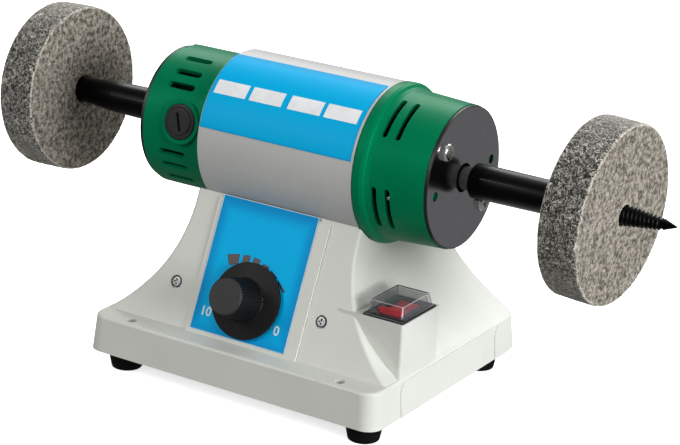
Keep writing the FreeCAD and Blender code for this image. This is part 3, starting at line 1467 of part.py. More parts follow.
def make_brush_gear():
    collars = []
    tubes = []
    brushes = []
    springs = []
    caps = []
    start = commutator_radius
    hole = brush_side + 2 * brush_clearance
    tube_side = hole + 2 * brush_tube_wall
    collar_top = left_bell_radius + collar_proud
    collar_low = collar_top - collar_depth
    cap_top = collar_top + cap_proud
    cap_low = cap_top - cap_depth
    tube_top = cap_low - tube_below_cap
    tube_low = commutator_radius + riser_height + tube_over_riser
    tube_length = tube_top - tube_low
    for deg in cap_angles():
        # black moulded holder: collar in the bell's boss, with a square stem round the tube
        holder = cylinder(collar_radius, collar_depth, V(0, 0, collar_low))
        rims = [edge for edge in holder.Edges if edge.BoundBox.ZMin > collar_top - 0.01]
        holder = holder.makeFillet(collar_edge_round, rims)
        stem_side = tube_side + 2 * holder_stem_wall
        stem = Part.makeBox(stem_side, stem_side, collar_low - tube_low - past,
                            V(-stem_side / 2, -stem_side / 2, tube_low + past))
        holder = holder.fuse(stem)
        holder = holder.cut(cylinder(cap_radius + brush_fit, cap_depth + past,
                                     V(0, 0, cap_low - brush_fit)))
        socket = tube_side + 2 * tube_fit
        holder = holder.cut(Part.makeBox(socket, socket, cap_top - tube_low + past,
                                         V(-socket / 2, -socket / 2, tube_low)))
        collars.append(face_motor_radius(holder, deg, 0, brush_x))

        tube = Part.makeBox(tube_side, tube_side, tube_length,
                            V(-tube_side / 2, -tube_side / 2, tube_low))
        tube = tube.cut(Part.makeBox(hole, hole, tube_length + 2 * past,
                                     V(-hole / 2, -hole / 2, tube_low - past)))
        tubes.append(face_motor_radius(tube, deg, 0, brush_x))

        brush = Part.makeBox(brush_side, brush_side, brush_length,
                             V(-brush_side / 2, -brush_side / 2, start))
        brush.rotate(V(0, 0, 0), V(1, 0, 0), 90 - deg)
        brush.translate(V(brush_x, 0, axis_z))
        brush = brush.cut(along_x(commutator_radius + brush_contact_gap, commutator_left_x,
                                  commutator_right_x))
        brushes.append(brush)

        spring_low = start + brush_length + spring_wire
        spring_high = cap_low - hole_clearance - spring_wire
        spring = coil_spring(spring_low, spring_high)
        springs.append(face_motor_radius(spring, deg, 0, brush_x))

        cap = cylinder(cap_radius, cap_depth, V(0, 0, cap_low))
        rims = [edge for edge in cap.Edges if edge.BoundBox.ZMin > cap_top - 0.01]
        cap = cap.makeFillet(cap_edge_round, rims)
        slot_half = cap_radius - cap_slot_margin
        slot = Part.makeBox(cap_slot_width, 2 * slot_half, cap_slot_depth + past,
                            V(-cap_slot_width / 2, -slot_half, cap_top - cap_slot_depth))
        slot.rotate(V(0, 0, 0), V(0, 0, 1), cap_slot_turn_deg)
        caps.append(face_motor_radius(cap.cut(slot), deg, 0, brush_x))
    return collars, tubes, brushes, springs, caps


def coil_spring(low, high):
    """Compression spring on +Z, one wire of steady pitch."""
    pitch = (high - low) / spring_coils
    path = Part.makeHelix(pitch, high - low, spring_radius)
    path.translate(V(0, 0, low))
    section = Part.Wire([Part.Circle(V(spring_radius, 0, low), V(0, 1, 0), spring_wire).toShape()])
    return Part.Wire(path.Edges).makePipeShell([section], True, True)


def taper_radius(side, x):
    """Radius of the screw taper under its thread at x, measured from the motor."""
    start = right_taper_start_x if side > 0 else -left_taper_start_x
    fall = (spindle_neck_radius - taper_end_radius) / (taper_end_x - start)
    return spindle_neck_radius - fall * (x - start)


def make_spindle(side):
    """Spindle modelled along +X from its plate, then mirrored for the left end."""
    plate = right_plate_x if side > 0 else -left_plate_x
    start = plate + spindle_gap
    taper = right_taper_start_x if side > 0 else -left_taper_start_x
    threaded = right_thread_start_x if side > 0 else -left_thread_start_x
    shaft_end = shaft_right_x if side > 0 else -shaft_left_x
    root_end_radius = taper_end_radius - thread_root_step
    outline = [
        (start, 0.0),
        (start, spindle_radius - spindle_chamfer),
        (start + spindle_chamfer, spindle_radius),
        (taper, spindle_neck_radius),
        (threaded, taper_radius(side, threaded)),
        (threaded + thread_run_out, taper_radius(side, threaded + thread_run_out) - thread_depth),
        (taper_end_x, root_end_radius),
        (taper_end_x + thread_root_step, taper_end_radius + tip_shoulder),
        (tip_x, tip_radius),
        (tip_x, 0.0),
    ]
    spindle = turned(outline)
    # conical screw thread
    first = threaded + 1.4 * thread_run_out
    last = taper_end_x - thread_run_out / 2
    length = last - first
    root_start_radius = taper_radius(side, first) - thread_depth
    angle = math.degrees(math.atan((root_start_radius - root_end_radius) / length))
    path = Part.makeHelix(thread_pitch, length, root_end_radius, angle)
    tooth = thread_pitch * thread_tooth_share
    low = root_end_radius - thread_root_step
    crest = root_end_radius + thread_depth * thread_crest_share
    section = Part.makePolygon([V(low, 0, -tooth), V(crest, 0, 0), V(low, 0, tooth),
                                V(low, 0, -tooth)])
    thread = Part.Wire(path.Edges).makePipeShell([section], True, True)
    thread.rotate(V(0, 0, 0), V(0, 1, 0), -90)
    thread.translate(V(last, 0, axis_z))
    spindle = spindle.fuse(thread)
    bore = cylinder(shaft_radius + spindle_fit, shaft_end + spindle_bore_past - start + past,
                    V(start - past, 0, axis_z), V(1, 0, 0))
    spindle = spindle.cut(bore)
    grub_x = start + grub_offset
    grub_hole = cylinder(grub_radius + thread_clearance, spindle_radius,
                         at_angle(grub_deg, shaft_radius - past / 2, grub_x), radial(grub_deg))
    spindle = spindle.cut(grub_hole)
    grub_top = spindle_radius - grub_sunk
    grub = cylinder(grub_radius, grub_top - shaft_radius,
                    at_angle(grub_deg, shaft_radius + shaft_fit, grub_x), radial(grub_deg))
    key = cylinder(grub_key_radius, grub_key_depth + past,
                   at_angle(grub_deg, grub_top - grub_key_depth, grub_x), radial(grub_deg))
    shapes = [spindle, grub.cut(key)]
    if side < 0:
        shapes = [shape.mirror(V(0, 0, 0), V(1, 0, 0)) for shape in shapes]
    return shapes


def make_wheel(side):
    inner_x = right_wheel_inner_x if side > 0 else -left_wheel_inner_x
    tilt = right_wheel_tilt_deg if side > 0 else left_wheel_tilt_deg
    outer_x = inner_x + wheel_width
    wheel = along_x(wheel_radius, inner_x, outer_x)
    rims = [edge for edge in wheel.Edges if edge.BoundBox.XLength < 0.01]
    wheel = wheel.makeFillet(wheel_edge_round, rims)
    lean = wheel_width / 2 * math.sin(math.radians(tilt))
    clear = wheel_bore_clearance + lean
    bore_start = inner_x - past
    bore_end = outer_x + past
    bore = Part.makeCone(taper_radius(side, bore_start) + clear, taper_radius(side, bore_end) + clear,
                         bore_end - bore_start, V(bore_start, 0, axis_z), V(1, 0, 0))
    wheel = wheel.cut(bore)
    middle = V((inner_x + outer_x) / 2, 0, axis_z)
    wheel.rotate(middle, V(0, 1, 0), tilt)
    if side < 0:
        wheel = wheel.mirror(V(0, 0, 0), V(1, 0, 0))
    return wheel


def main():
    os.makedirs("parts", exist_ok=True)
    put("base_housing", make_housing())
    put("bottom_plate", make_bottom_plate())
    put("bottom_plate_screws", *make_plate_screws())
    feet, foot_screws, foot_nuts = make_feet()
    put("rubber_feet", *feet)
    put("foot_screws", *foot_screws)
    put("foot_nuts", *foot_nuts)
    put("cord_gland", make_gland())

    label, pot, pot_shaft, washer, nut = make_panel_parts()
    put("panel_label", label)
    put("potentiometer_body", pot)
    put("potentiometer_shaft", pot_shaft)
    put("potentiometer_washer", washer)
    put("potentiometer_nut", nut)
    put("speed_knob", make_knob())
    board, case_screws, case_nuts, heat_sink, triac, capacitor, choke = make_board_parts()
    put("circuit_board", board)
    put("case_screws", *case_screws)
    put("case_screw_nuts", *case_nuts)
    put("heat_sink", heat_sink)
    put("triac", triac)
    put("filter_capacitor", capacitor)
    put("choke", choke)

    switch_body, rocker, boot, terminals = make_switch()
    put("switch_body", switch_body)
    put("switch_rocker", rocker)
    put("switch_boot", boot)
    put("switch_terminals", *terminals)

    shell, name_label, saddle_screws = make_shell_parts()
    put("motor_shell", shell)
    put("name_label", name_label)
    put("saddle_screws", *saddle_screws)
    put("left_end_bell", make_left_bell())
    put("right_end_bell", make_right_bell())
    plates, end_screws = make_end_plates()
    put("left_end_plate", plates[0])
    put("right_end_plate", plates[1])
    put("end_plate_screws", *end_screws)

    put("tie_bolts", *make_tie_bolts())
    put("motor_leads", *make_leads())
    core, coils = make_stator()
    put("stator_core", core)
    put("field_coils", *coils)
    shaft, armature, winding, sleeves, commutator, fan = make_rotor()
    put("motor_shaft", shaft)
    put("armature_core", armature)
    put("armature_windings", winding)
    put("armature_sleeves", *sleeves)
    put("commutator", commutator)
    put("cooling_fan", fan)
    for name, x in (("left", left_bearing_x), ("right", right_bearing_x)):
        outer, inner, balls = make_bearing(x)
        put(name + "_bearing_outer_ring", outer)
        put(name + "_bearing_inner_ring", inner)
        put(name + "_bearing_balls", *balls)
    collars, tubes, brushes, springs, caps = make_brush_gear()
    put("brush_holders", *collars)
    put("brush_tubes", *tubes)
    put("carbon_brushes", *brushes)
    put("brush_springs", *springs)
    put("brush_caps", *caps)
    for name, side in (("left", -1), ("right", 1)):
        spindle, grub = make_spindle(side)
        put(name + "_spindle", spindle)
        put(name + "_spindle_grub_screw", grub)
        put(name + "_wheel", make_wheel(side))


main()
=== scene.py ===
import math
import random

import bpy
from mathutils import Matrix, Vector


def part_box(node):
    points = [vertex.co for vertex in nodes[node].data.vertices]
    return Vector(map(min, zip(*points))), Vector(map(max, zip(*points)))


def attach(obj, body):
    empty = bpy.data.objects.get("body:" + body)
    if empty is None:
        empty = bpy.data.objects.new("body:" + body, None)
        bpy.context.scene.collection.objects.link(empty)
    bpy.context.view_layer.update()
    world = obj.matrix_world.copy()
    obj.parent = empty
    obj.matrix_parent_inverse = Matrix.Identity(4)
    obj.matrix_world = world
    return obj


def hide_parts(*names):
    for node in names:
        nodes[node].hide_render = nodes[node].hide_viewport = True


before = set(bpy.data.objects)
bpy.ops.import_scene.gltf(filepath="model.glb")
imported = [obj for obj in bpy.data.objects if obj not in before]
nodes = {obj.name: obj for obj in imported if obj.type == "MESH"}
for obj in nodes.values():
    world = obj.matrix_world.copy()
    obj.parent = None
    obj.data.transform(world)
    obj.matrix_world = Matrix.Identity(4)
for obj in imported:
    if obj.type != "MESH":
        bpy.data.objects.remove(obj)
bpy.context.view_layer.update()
scene = bpy.context.scene
bpy.ops.object.select_all(action="DESELECT")

axisZ = 0.103  # height of the spindles
panelLean = 23.4  # degrees that the control panel leans back

# camera
view = {
    "location": (0.48812, -0.77026, 0.38457),
    "turn": 31.76,
    "down": 19.09,
    "roll": 2.72,
    "lens": 118.42,
    "sensor": 36.0,
    "shiftX": 0.0103,
    "shiftY": -0.0051,
    "clipStart": 0.01,
}
aim = (Matrix.Rotation(math.radians(view["turn"]), 3, "Z")
       @ Matrix.Rotation(math.radians(90 - view["down"]), 3, "X")
       @ Matrix.Rotation(math.radians(view["roll"]), 3, "Z"))
bpy.ops.object.camera_add(location=view["location"], rotation=aim.to_euler())
camera = bpy.context.object
camera.name = "camera"
camera.data.lens = view["lens"]
camera.data.sensor_width = view["sensor"]
camera.data.shift_x = view["shiftX"]
camera.data.shift_y = view["shiftY"]
camera.data.clip_start = view["clipStart"]
scene.camera = camera
scene.view_settings.view_transform = "Standard"
print("camera placed")


# light
def addSoftbox(box):
    towards = Vector(box["target"]) - Vector(box["location"])
    bpy.ops.object.light_add(type="AREA", location=box["location"],
                             rotation=towards.to_track_quat("-Z", "Y").to_euler())
    lamp = bpy.context.object
    lamp.name = box["name"]
    lamp.data.shape = "RECTANGLE"
    lamp.data.size = box["width"]
    lamp.data.size_y = box["height"]
    lamp.data.energy = box["watts"]
    lamp.data.color = box["colour"]


softboxes = [
    {"name": "key_light", "location": (-0.7, -1.0, 0.75), "target": (0.0, 0.0, 0.07),
     "width": 0.4, "height": 0.4, "watts": 7.5, "colour": (1.0, 0.99, 0.97)},
    {"name": "right_light", "location": (1.3, -0.2, 0.36), "target": (0.05, 0.0, 0.07),
     "width": 0.8, "height": 0.6, "watts": 22.0, "colour": (0.98, 0.99, 1.0)},
    {"name": "back_light", "location": (-0.35, 1.05, 1.05), "target": (0.0, 0.0, 0.1),
     "width": 1.6, "height": 0.7, "watts": 22.0, "colour": (1.0, 1.0, 1.0)},
    {"name": "top_light", "location": (0.0, 0.0, 1.2), "target": (0.0, 0.0, 0.1),
     "width": 0.9, "height": 0.9, "watts": 1.6, "colour": (1.0, 1.0, 1.0)},
]
for box in softboxes:
    addSoftbox(box)

sky = {"colour": (1.0, 1.0, 1.0, 1.0), "strength": 0.22}
world = bpy.data.worlds.new("studio")
world.use_nodes = True
scene.world = world
backdrop = world.node_tree.nodes["Background"]
backdrop.inputs["Color"].default_value = sky["colour"]
backdrop.inputs["Strength"].default_value = sky["strength"]
print("lights placed")


# finishes: tones are given as they look on a screen, and made linear for the shader
def tone(red, green, blue):
    shades = []
    for amount in (red, green, blue):
        share = amount / 255
        shades.append(share / 12.92 if share <= 0.04045 else ((share + 0.055) / 1.055) ** 2.4)
    return (*shades, 1.0)


def plug(tree, term, socket):
    if isinstance(term, Value):
        tree.links.new(term.socket, socket)
    else:
        socket.default_value = term


class Value:
    def __init__(self, tree, socket):
        self.tree = tree
        self.socket = socket

    def maths(self, operation, *terms):
        node = self.tree.nodes.new("ShaderNodeMath")
        node.operation = operation
        for place, term in enumerate(terms):
            plug(self.tree, term, node.inputs[place])
        return Value(self.tree, node.outputs[0])

    def __add__(self, other):
        return self.maths("ADD", self, other)

    def __radd__(self, other):
        return self.maths("ADD", other, self)

    def __sub__(self, other):
        return self.maths("SUBTRACT", self, other)

    def __rsub__(self, other):
        return self.maths("SUBTRACT", other, self)

    def __mul__(self, other):
        return self.maths("MULTIPLY", self, other)

    def __rmul__(self, other):
        return self.maths("MULTIPLY", other, self)

    def least(self, other):
        return self.maths("MINIMUM", self, other)

    def most(self, other):
        return self.maths("MAXIMUM", self, other)

    def size(self):
        return self.maths("ABSOLUTE", self)

    def sine(self):
        return self.maths("SINE", self)

    def root(self):
        return self.maths("SQRT", self)


class Finish:
    def __init__(self, name, constants):
        self.material = bpy.data.materials.new(name)
        self.material.use_nodes = True
        self.tree = self.material.node_tree
        self.tree.nodes.clear()
        self.shader = self.node("ShaderNodeBsdfPrincipled")
        output = self.node("ShaderNodeOutputMaterial")
        self.tree.links.new(self.shader.outputs["BSDF"], output.inputs["Surface"])
        for socket, amount in constants.items():
            self.shader.inputs[socket].default_value = amount
        self.place = self.value("ShaderNodeTexCoord", "Object")

    def node(self, kind, settings=None, inputs=None):
        node = self.tree.nodes.new(kind)
        for setting, choice in (settings or {}).items():
            setattr(node, setting, choice)
        for socket, term in (inputs or {}).items():
            plug(self.tree, term, node.inputs[socket])
        return node

    def value(self, kind, output, settings=None, inputs=None):
        return Value(self.tree, self.node(kind, settings, inputs).outputs[output])

    def feed(self, socket, term):
        plug(self.tree, term, self.shader.inputs[socket])

    def noise(self, scale, detail=3.0, rough=0.55, twist=0.0, place=None):
        return self.value("ShaderNodeTexNoise", "Fac", None,
                          {"Vector": place or self.place, "Scale": scale, "Detail": detail,
                           "Roughness": rough, "Distortion": twist})

    def cells(self, scale):
        return self.value("ShaderNodeTexVoronoi", "Distance", {"feature": "F1"},
                          {"Vector": self.place, "Scale": scale})

    def stretched(self, x, y, z):
        return self.value("ShaderNodeVectorMath", "Vector", {"operation": "MULTIPLY"},
                          {0: self.place, 1: (x, y, z)})

    def axis(self, letter):
        return self.value("ShaderNodeSeparateXYZ", letter, None, {"Vector": self.place})

    def between(self, term, low, high, start=0.0, end=1.0):
        return self.value("ShaderNodeMapRange", "Result",
                          {"interpolation_type": "SMOOTHSTEP", "clamp": True},
                          {"Value": term, "From Min": low, "From Max": high,
                           "To Min": start, "To Max": end})

    def mix(self, share, first, second):
        return self.value("ShaderNodeMix", 2, {"data_type": "RGBA"},
                          {0: share, 6: first, 7: second})

    def bump(self, height, strength, depth):
        return self.value("ShaderNodeBump", "Normal", None,
                          {"Height": height, "Strength": strength, "Distance": depth})


def shade(colour, amount):
    return (*[min(1.0, part * amount) for part in colour[:3]], 1.0)


white = (1.0, 1.0, 1.0, 1.0)
skin = {"ior": 1.46, "coatRoughness": 0.12, "patchLow": 0.3, "patchHigh": 0.7,
        "patchGloss": 0.08, "grainRough": 0.6}


# the usual painted or moulded skin: soft patches of colour, a fine grain in its gloss and height
def coated(name, look):
    finish = Finish(name, {"IOR": look.get("ior", skin["ior"]), "Specular IOR Level": look["shine"],
                           "Specular Tint": look.get("tint", white),
                           "Coat Weight": look.get("coat", 0.0),
                           "Coat Roughness": skin["coatRoughness"]})
    patches = finish.noise(look["patchScale"])
    grain = finish.noise(look["grainScale"], detail=2.0, rough=skin["grainRough"])
    spread = look["patchAmount"]
    finish.feed("Base Color", finish.mix(finish.between(patches, skin["patchLow"], skin["patchHigh"]),
                                         shade(look["colour"], 1 - spread),
                                         shade(look["colour"], 1 + spread)))
    finish.feed("Roughness", look["roughness"] + (grain - 0.5) * look["roughnessSpread"]
                + (patches - 0.5) * skin["patchGloss"])
    finish.feed("Normal", finish.bump(grain, look["grainStrength"], look["grainDepth"]))
    return finish.material


# moulded knob: its flat cap is painted paler, as painted light where it faces the lamps; its grips
# stay deep black, its skirt lies between
def gripped(name, look, knob):
    finish = Finish(name, {"Specular IOR Level": look["shine"]})
    lean = math.radians(look["lean"])
    outwards = Vector((0, -math.cos(lean), math.sin(lean)))
    top = max(outwards.dot(point.co) for point in knob.data.vertices)
    along = finish.value("ShaderNodeVectorMath", "Value", {"operation": "DOT_PRODUCT"},
                         {0: finish.place, 1: outwards})
    depth = top - along
    grain = finish.noise(look["grainScale"], detail=2.0, rough=skin["grainRough"])
    grease = finish.noise(look["patchScale"])
    body = finish.mix(finish.between(depth, look["skirt"], look["skirt"] + look["soft"]),
                      look["gripColour"], look["skirtColour"])
    colour = finish.mix(finish.between(depth + (grease - 0.5) * look["soft"], look["cap"],
                                       look["cap"] + look["soft"]), look["litCapColour"], body)
    finish.feed("Base Color", finish.mix(grease * look["patchAmount"], colour, look["gripColour"]))
    finish.feed("Roughness", look["roughness"] + (grain - 0.5) * look["roughnessSpread"])
    finish.feed("Normal", finish.bump(grain, look["grainStrength"], look["grainDepth"]))
    return finish.material


stainSpread = {"low": 0.35, "high": 0.7}


def hairlines(finish, look):
    return finish.noise(look["lineScale"], rough=skin["grainRough"],
                        place=finish.stretched(*look["stretch"]))


def stained(finish, look):
    stains = finish.noise(look["stainScale"])
    return finish.mix(finish.between(stains, stainSpread["low"], stainSpread["high"]),
                      shade(look["colour"], 1 - look["stain"]), look["colour"])


# bare or plated metal: hairlines drawn out along one axis
def drawnMetal(name, look):
    finish = Finish(name, {"Metallic": 1.0, "Coat Weight": look.get("coat", 0.0)})
    lines = hairlines(finish, look)
    finish.feed("Base Color", stained(finish, look))
    finish.feed("Roughness", look["roughness"] + (lines - 0.5) * look["roughnessSpread"])
    finish.feed("Normal", finish.bump(lines, look["lineStrength"], look["lineDepth"]))
    return finish.material


# end plate: mirror-like face, with painted shade round its cut edge: black, rougher and not metallic
# there
def shadeEdgedPlate(name, look, plate):
    finish = Finish(name, {"IOR": look["ior"]})
    low, high = plate
    radius = high[1]
    y = finish.axis("Y")
    up = finish.axis("Z") - (low[2] + high[2]) / 2
    away = (y * y + up * up).root()
    edge = finish.between(away, radius - look["edgeWidth"], radius - look["edgeSharp"])
    lines = hairlines(finish, look)
    finish.feed("Base Color", finish.mix(edge, stained(finish, look), look["edgeColour"]))
    finish.feed("Metallic", 1 - edge)
    finish.feed("Roughness", look["roughness"] + (lines - 0.5) * look["roughnessSpread"]
                + edge * look["edgeRoughness"])
    finish.feed("Normal", finish.bump(lines, look["lineStrength"], look["lineDepth"]))
    return finish.material


# printed film: darker towards its own edges; along the top of the panel film this is painted shadow
# under the motor shell
def printedLabel(name, look):
    finish = Finish(name, {"IOR": look["ior"], "Specular IOR Level": look["shine"]})
    x = finish.axis("X")
    z = finish.axis("Z")
    cloud = finish.noise(look["cloudScale"], detail=2.0)
    dots = finish.cells(look["dotScale"])
    across = (x - look["left"]).least(look["right"] - x)
    upwards = (z - look["low"]).least(look["high"] - z)
    inside = finish.between(across.least(upwards), 0.0, look["fade"])
    colour = finish.mix(inside, look["edgeColour"], look["colour"])
    speck = finish.between(dots, look["dotLow"], look["dotHigh"], end=look["speckAmount"])
    finish.feed("Base Color", finish.mix(speck + (cloud - 0.5) * look["cloudAmount"], colour,
                                         look["deepColour"]))
    finish.feed("Roughness", look["roughness"] + (cloud - 0.5) * look["roughnessSpread"])
    film = finish.noise(look["filmScale"], detail=2.0)
    finish.feed("Normal", finish.bump(film, look["filmStrength"], look["filmDepth"]))
    return finish.material


def clearCover(name, look):
    finish = Finish(name, {"IOR": look["ior"], "Base Color": look["colour"],
                           "Specular IOR Level": look["shine"]})
    haze = finish.noise(look["hazeScale"])
    facing = finish.value("ShaderNodeLayerWeight", "Facing", None, {"Blend": look["blend"]})
    finish.feed("Alpha", finish.between(facing, look["facingLow"], look["facingHigh"],
                                        look["clear"], look["edge"])
                + (haze - 0.5) * look["hazeAmount"])
    finish.feed("Roughness", look["roughness"] + (haze - 0.5) * look["roughnessSpread"])
    finish.feed("Normal", finish.bump(haze, look["hazeStrength"], look["hazeDepth"]))
    return finish.material


felt = {"ior": 1.4, "shine": 0.2, "sheenRoughness": 0.45, "roughness": 0.95, "rough": 0.6,
        "threadGloss": 0.15, "threadHeight": 0.6, "groundLow": 0.35, "groundHigh": 0.68,
        "patchLow": 0.35, "patchHigh": 0.65, "raggedness": 1.1, "wornLow": 0.4, "wornHigh": 0.72,
        "wornShare": 0.6, "wornThread": 0.35}


# felted fibre: curly threads are the contour lines of a twisted noise, over a dark ground
def fibre(name, look):
    finish = Finish(name, {"IOR": felt["ior"], "Specular IOR Level": felt["shine"],
                           "Sheen Weight": look["fuzz"], "Sheen Roughness": felt["sheenRoughness"],
                           "Sheen Tint": look["paleColour"]})
    ground = finish.noise(look["clumpScale"], detail=4.0, rough=felt["rough"])
    patches = finish.noise(look["patchScale"])
    layers = []
    for layer in look["layers"]:
        curl = finish.noise(layer["scale"], detail=2.0, rough=0.5, twist=layer["twist"],
                            place=finish.stretched(*layer["stretch"]))
        line = 1 - finish.between((curl * layer["rings"]).sine().size(), 0.0, layer["width"])
        breaks = finish.noise(layer["breakScale"], detail=2.0)
        layers.append(line * finish.between(breaks, layer["breakLow"], layer["breakHigh"]))
    thread = layers[0]
    for line in layers[1:]:
        thread = thread.most(line)
    dark = finish.mix(finish.between(ground, felt["groundLow"], felt["groundHigh"]),
                      look["darkColour"], look["groundColour"])
    light = finish.mix(finish.between(patches, felt["patchLow"], felt["patchHigh"]),
                       look["threadColour"], look["paleColour"])
    colour = finish.mix(thread * look["threadShare"], dark, light)
    # the corners and the mouth of the bore are worn pale
    wear = finish.value("ShaderNodeAttribute", "Fac", {"attribute_name": "wear"})
    ragged = finish.noise(look["wearScale"], rough=felt["rough"])
    worn = finish.between(wear + (ragged - 0.5) * felt["raggedness"], felt["wornLow"],
                          felt["wornHigh"])
    finish.feed("Base Color", finish.mix(worn * (felt["wornShare"] + thread * felt["wornThread"]),
                                         colour, look["wornColour"]))
    finish.feed("Roughness", felt["roughness"] - thread * felt["threadGloss"])
    finish.feed("Normal", finish.bump(thread * felt["threadHeight"] + ground,
                                      look["reliefStrength"], look["reliefDepth"]))
    return finish.material


paint = {"shine": 0.4, "patchScale": 45.0, "patchAmount": 0.02, "grainScale": 1500.0,
         "roughnessSpread": 0.1, "grainStrength": 0.22, "grainDepth": 0.00006}
basePaint = {**paint, "colour": tone(205, 207, 200), "roughness": 0.46}
platePaint = {**paint, "colour": tone(70, 72, 74), "roughness": 0.5}
shellPaint = {**paint, "colour": tone(183, 184, 182), "roughness": 0.4, "shine": 0.2,
              "grainScale": 2300.0, "grainStrength": 0.1}
bellPaint = {**paint, "colour": tone(0, 114, 74), "roughness": 0.4, "shine": 0.12,
             "tint": tone(20, 250, 176),
             "patchAmount": 0.05, "grainScale": 900.0, "grainStrength": 0.16}

plastic = {"shine": 0.3, "patchScale": 90.0, "patchAmount": 0.08, "grainScale": 3200.0,
           "roughnessSpread": 0.16, "grainStrength": 0.3, "grainDepth": 0.00004}
# the cap's paler colour is painted light on the face that meets the lamps
knobPlastic = {**plastic, "lean": panelLean, "cap": 0.0004, "skirt": 0.0143, "soft": 0.0006,
               "litCapColour": tone(52, 51, 52), "gripColour": tone(15, 15, 16),
               "skirtColour": tone(28, 27, 27), "roughness": 0.5, "shine": 0.16}
holderPlastic = {**plastic, "colour": tone(36, 34, 35), "roughness": 0.42}
switchPlastic = {**plastic, "colour": tone(22, 22, 24), "roughness": 0.24, "coat": 0.2}
rockerPlastic = {**plastic, "colour": tone(226, 18, 26), "roughness": 0.3, "coat": 0.2}
fanPlastic = {**plastic, "colour": tone(52, 54, 58), "roughness": 0.5}
epoxy = {**plastic, "colour": tone(28, 28, 30), "roughness": 0.45}
filmCase = {**plastic, "colour": tone(196, 168, 44), "roughness": 0.4}
sleeving = {**plastic, "colour": tone(190, 182, 156), "roughness": 0.6}
leadSkin = {**plastic, "colour": tone(178, 24, 26), "roughness": 0.4}
carbonBlock = {**plastic, "colour": tone(38, 38, 40), "roughness": 0.55, "grainScale": 4500.0}

rubber = {"shine": 0.2, "patchScale": 120.0, "patchAmount": 0.14, "grainScale": 2600.0,
          "roughnessSpread": 0.12, "grainStrength": 0.4, "grainDepth": 0.00006, "ior": 1.5}
footRubber = {**rubber, "shine": 0.1, "colour": tone(9, 9, 10), "roughness": 0.66}
glandRubber = {**rubber, "colour": tone(30, 30, 32), "roughness": 0.6}
boardSkin = {"shine": 0.5, "patchScale": 200.0, "patchAmount": 0.12, "grainScale": 1400.0,
             "coat": 0.3, "colour": tone(24, 92, 52), "roughness": 0.35, "roughnessSpread": 0.1,
             "grainStrength": 0.2, "grainDepth": 0.00005}

metal = {"lineScale": 900.0, "stretch": (0.08, 1.0, 1.0), "stainScale": 150.0, "stain": 0.12,
         "roughnessSpread": 0.16, "lineStrength": 0.15, "lineDepth": 0.00004}
rings = {**metal, "stretch": (1.0, 0.03, 0.03), "lineScale": 1500.0}
zinc = {**metal, "colour": tone(232, 232, 228), "roughness": 0.2}
# case screws: darker than the zinc screws as painted shade of their deep recesses
recessShadedScrew = {**metal, "colour": tone(132, 132, 134), "roughness": 0.26}
# the edge keys paint shade round the plate's cut edge in place of a highlight
discPlate = {**metal, "colour": tone(174, 173, 178), "roughness": 0.18, "stain": 0.04,
             "ior": 1.45, "roughnessSpread": 0.05, "lineStrength": 0.02,
             "edgeWidth": 0.0005, "edgeSharp": 0.0003, "edgeRoughness": 0.3,
             "edgeColour": tone(14, 14, 15)}
shaftSteel = {**rings, "colour": tone(150, 151, 153), "roughness": 0.3, "stain": 0.35}
spindleBlack = {**rings, "colour": tone(20, 20, 21), "roughness": 0.38, "coat": 0.05,
                "lineStrength": 0.3}
bearingSteel = {**rings, "colour": tone(196, 197, 199), "roughness": 0.2}
springSteel = {**metal, "colour": tone(170, 171, 172), "roughness": 0.3}
sinkAluminium = {**metal, "colour": tone(176, 178, 180), "roughness": 0.38}
potCase = {**metal, "colour": tone(184, 184, 180), "roughness": 0.34}
brassStrip = {**metal, "colour": tone(212, 174, 92), "roughness": 0.32}
copperWire = {**metal, "colour": tone(196, 108, 62), "roughness": 0.35, "lineScale": 1800.0}
lamination = {**metal, "colour": tone(120, 122, 126), "roughness": 0.42, "lineScale": 2600.0,
              "stretch": (1.0, 0.02, 0.02)}

labelBlue = {"ior": 1.45, "shine": 0.05, "cloudScale": 25.0, "cloudAmount": 0.12,
             "dotScale": 2600.0, "dotLow": 0.1, "dotHigh": 0.5, "speckAmount": 0.05,
             "filmScale": 700.0, "filmStrength": 0.15, "filmDepth": 0.00002,
             "roughness": 0.45, "roughnessSpread": 0.1, "deepColour": tone(0, 124, 190)}
nameBlue = {**labelBlue, "left": -0.0364, "right": 0.0388, "low": 0.1107, "high": 0.1368,
            "fade": 0.0012, "colour": tone(0, 172, 226), "edgeColour": tone(0, 154, 210)}
coverClear = {"colour": tone(112, 114, 120), "ior": 1.49, "shine": 0.7, "blend": 0.35,
              "facingLow": 0.05, "facingHigh": 0.9, "clear": 0.1, "edge": 0.6,
              "hazeScale": 300.0, "hazeAmount": 0.06, "hazeStrength": 0.2, "hazeDepth": 0.0001,
              "roughness": 0.12, "roughnessSpread": 0.08}

skins = {
    "base_paint": basePaint,
    "plate_paint": platePaint,
    "shell_paint": shellPaint,
    "bell_green": bellPaint,
    "holder_black": holderPlastic,
    "switch_black": switchPlastic,
    "rocker_red": rockerPlastic,
    "fan_plastic": fanPlastic,
    "black_epoxy": epoxy,
    "capacitor_case": filmCase,
    "insulation": sleeving,
    "lead_red": leadSkin,
    "carbon": carbonBlock,
    "foot_rubber": footRubber,
    "gland_rubber": glandRubber,
    "board": boardSkin,
}
metals = {
    "zinc_screw": zinc,
    "shaft_steel": shaftSteel,
    "spindle_black": spindleBlack,
    "bearing_steel": bearingSteel,
    "spring_steel": springSteel,
    "sink_aluminium": sinkAluminium,
    "pot_case": potCase,
    "brass": brassStrip,
    "copper": copperWire,
    "lamination": lamination,
}
finishes = {name: coated(name, look) for name, look in skins.items()}
finishes.update({name: drawnMetal(name, look) for name, look in metals.items()})
finishes["disc_grey"] = shadeEdgedPlate("disc_grey", discPlate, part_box("right_end_plate"))
finishes["knob_black"] = gripped("knob_black", knobPlastic, nodes["speed_knob"])
finishes["blue_label"] = printedLabel("name_blue", nameBlue)
finishes["boot_clear"] = clearCover("boot_clear", coverClear)
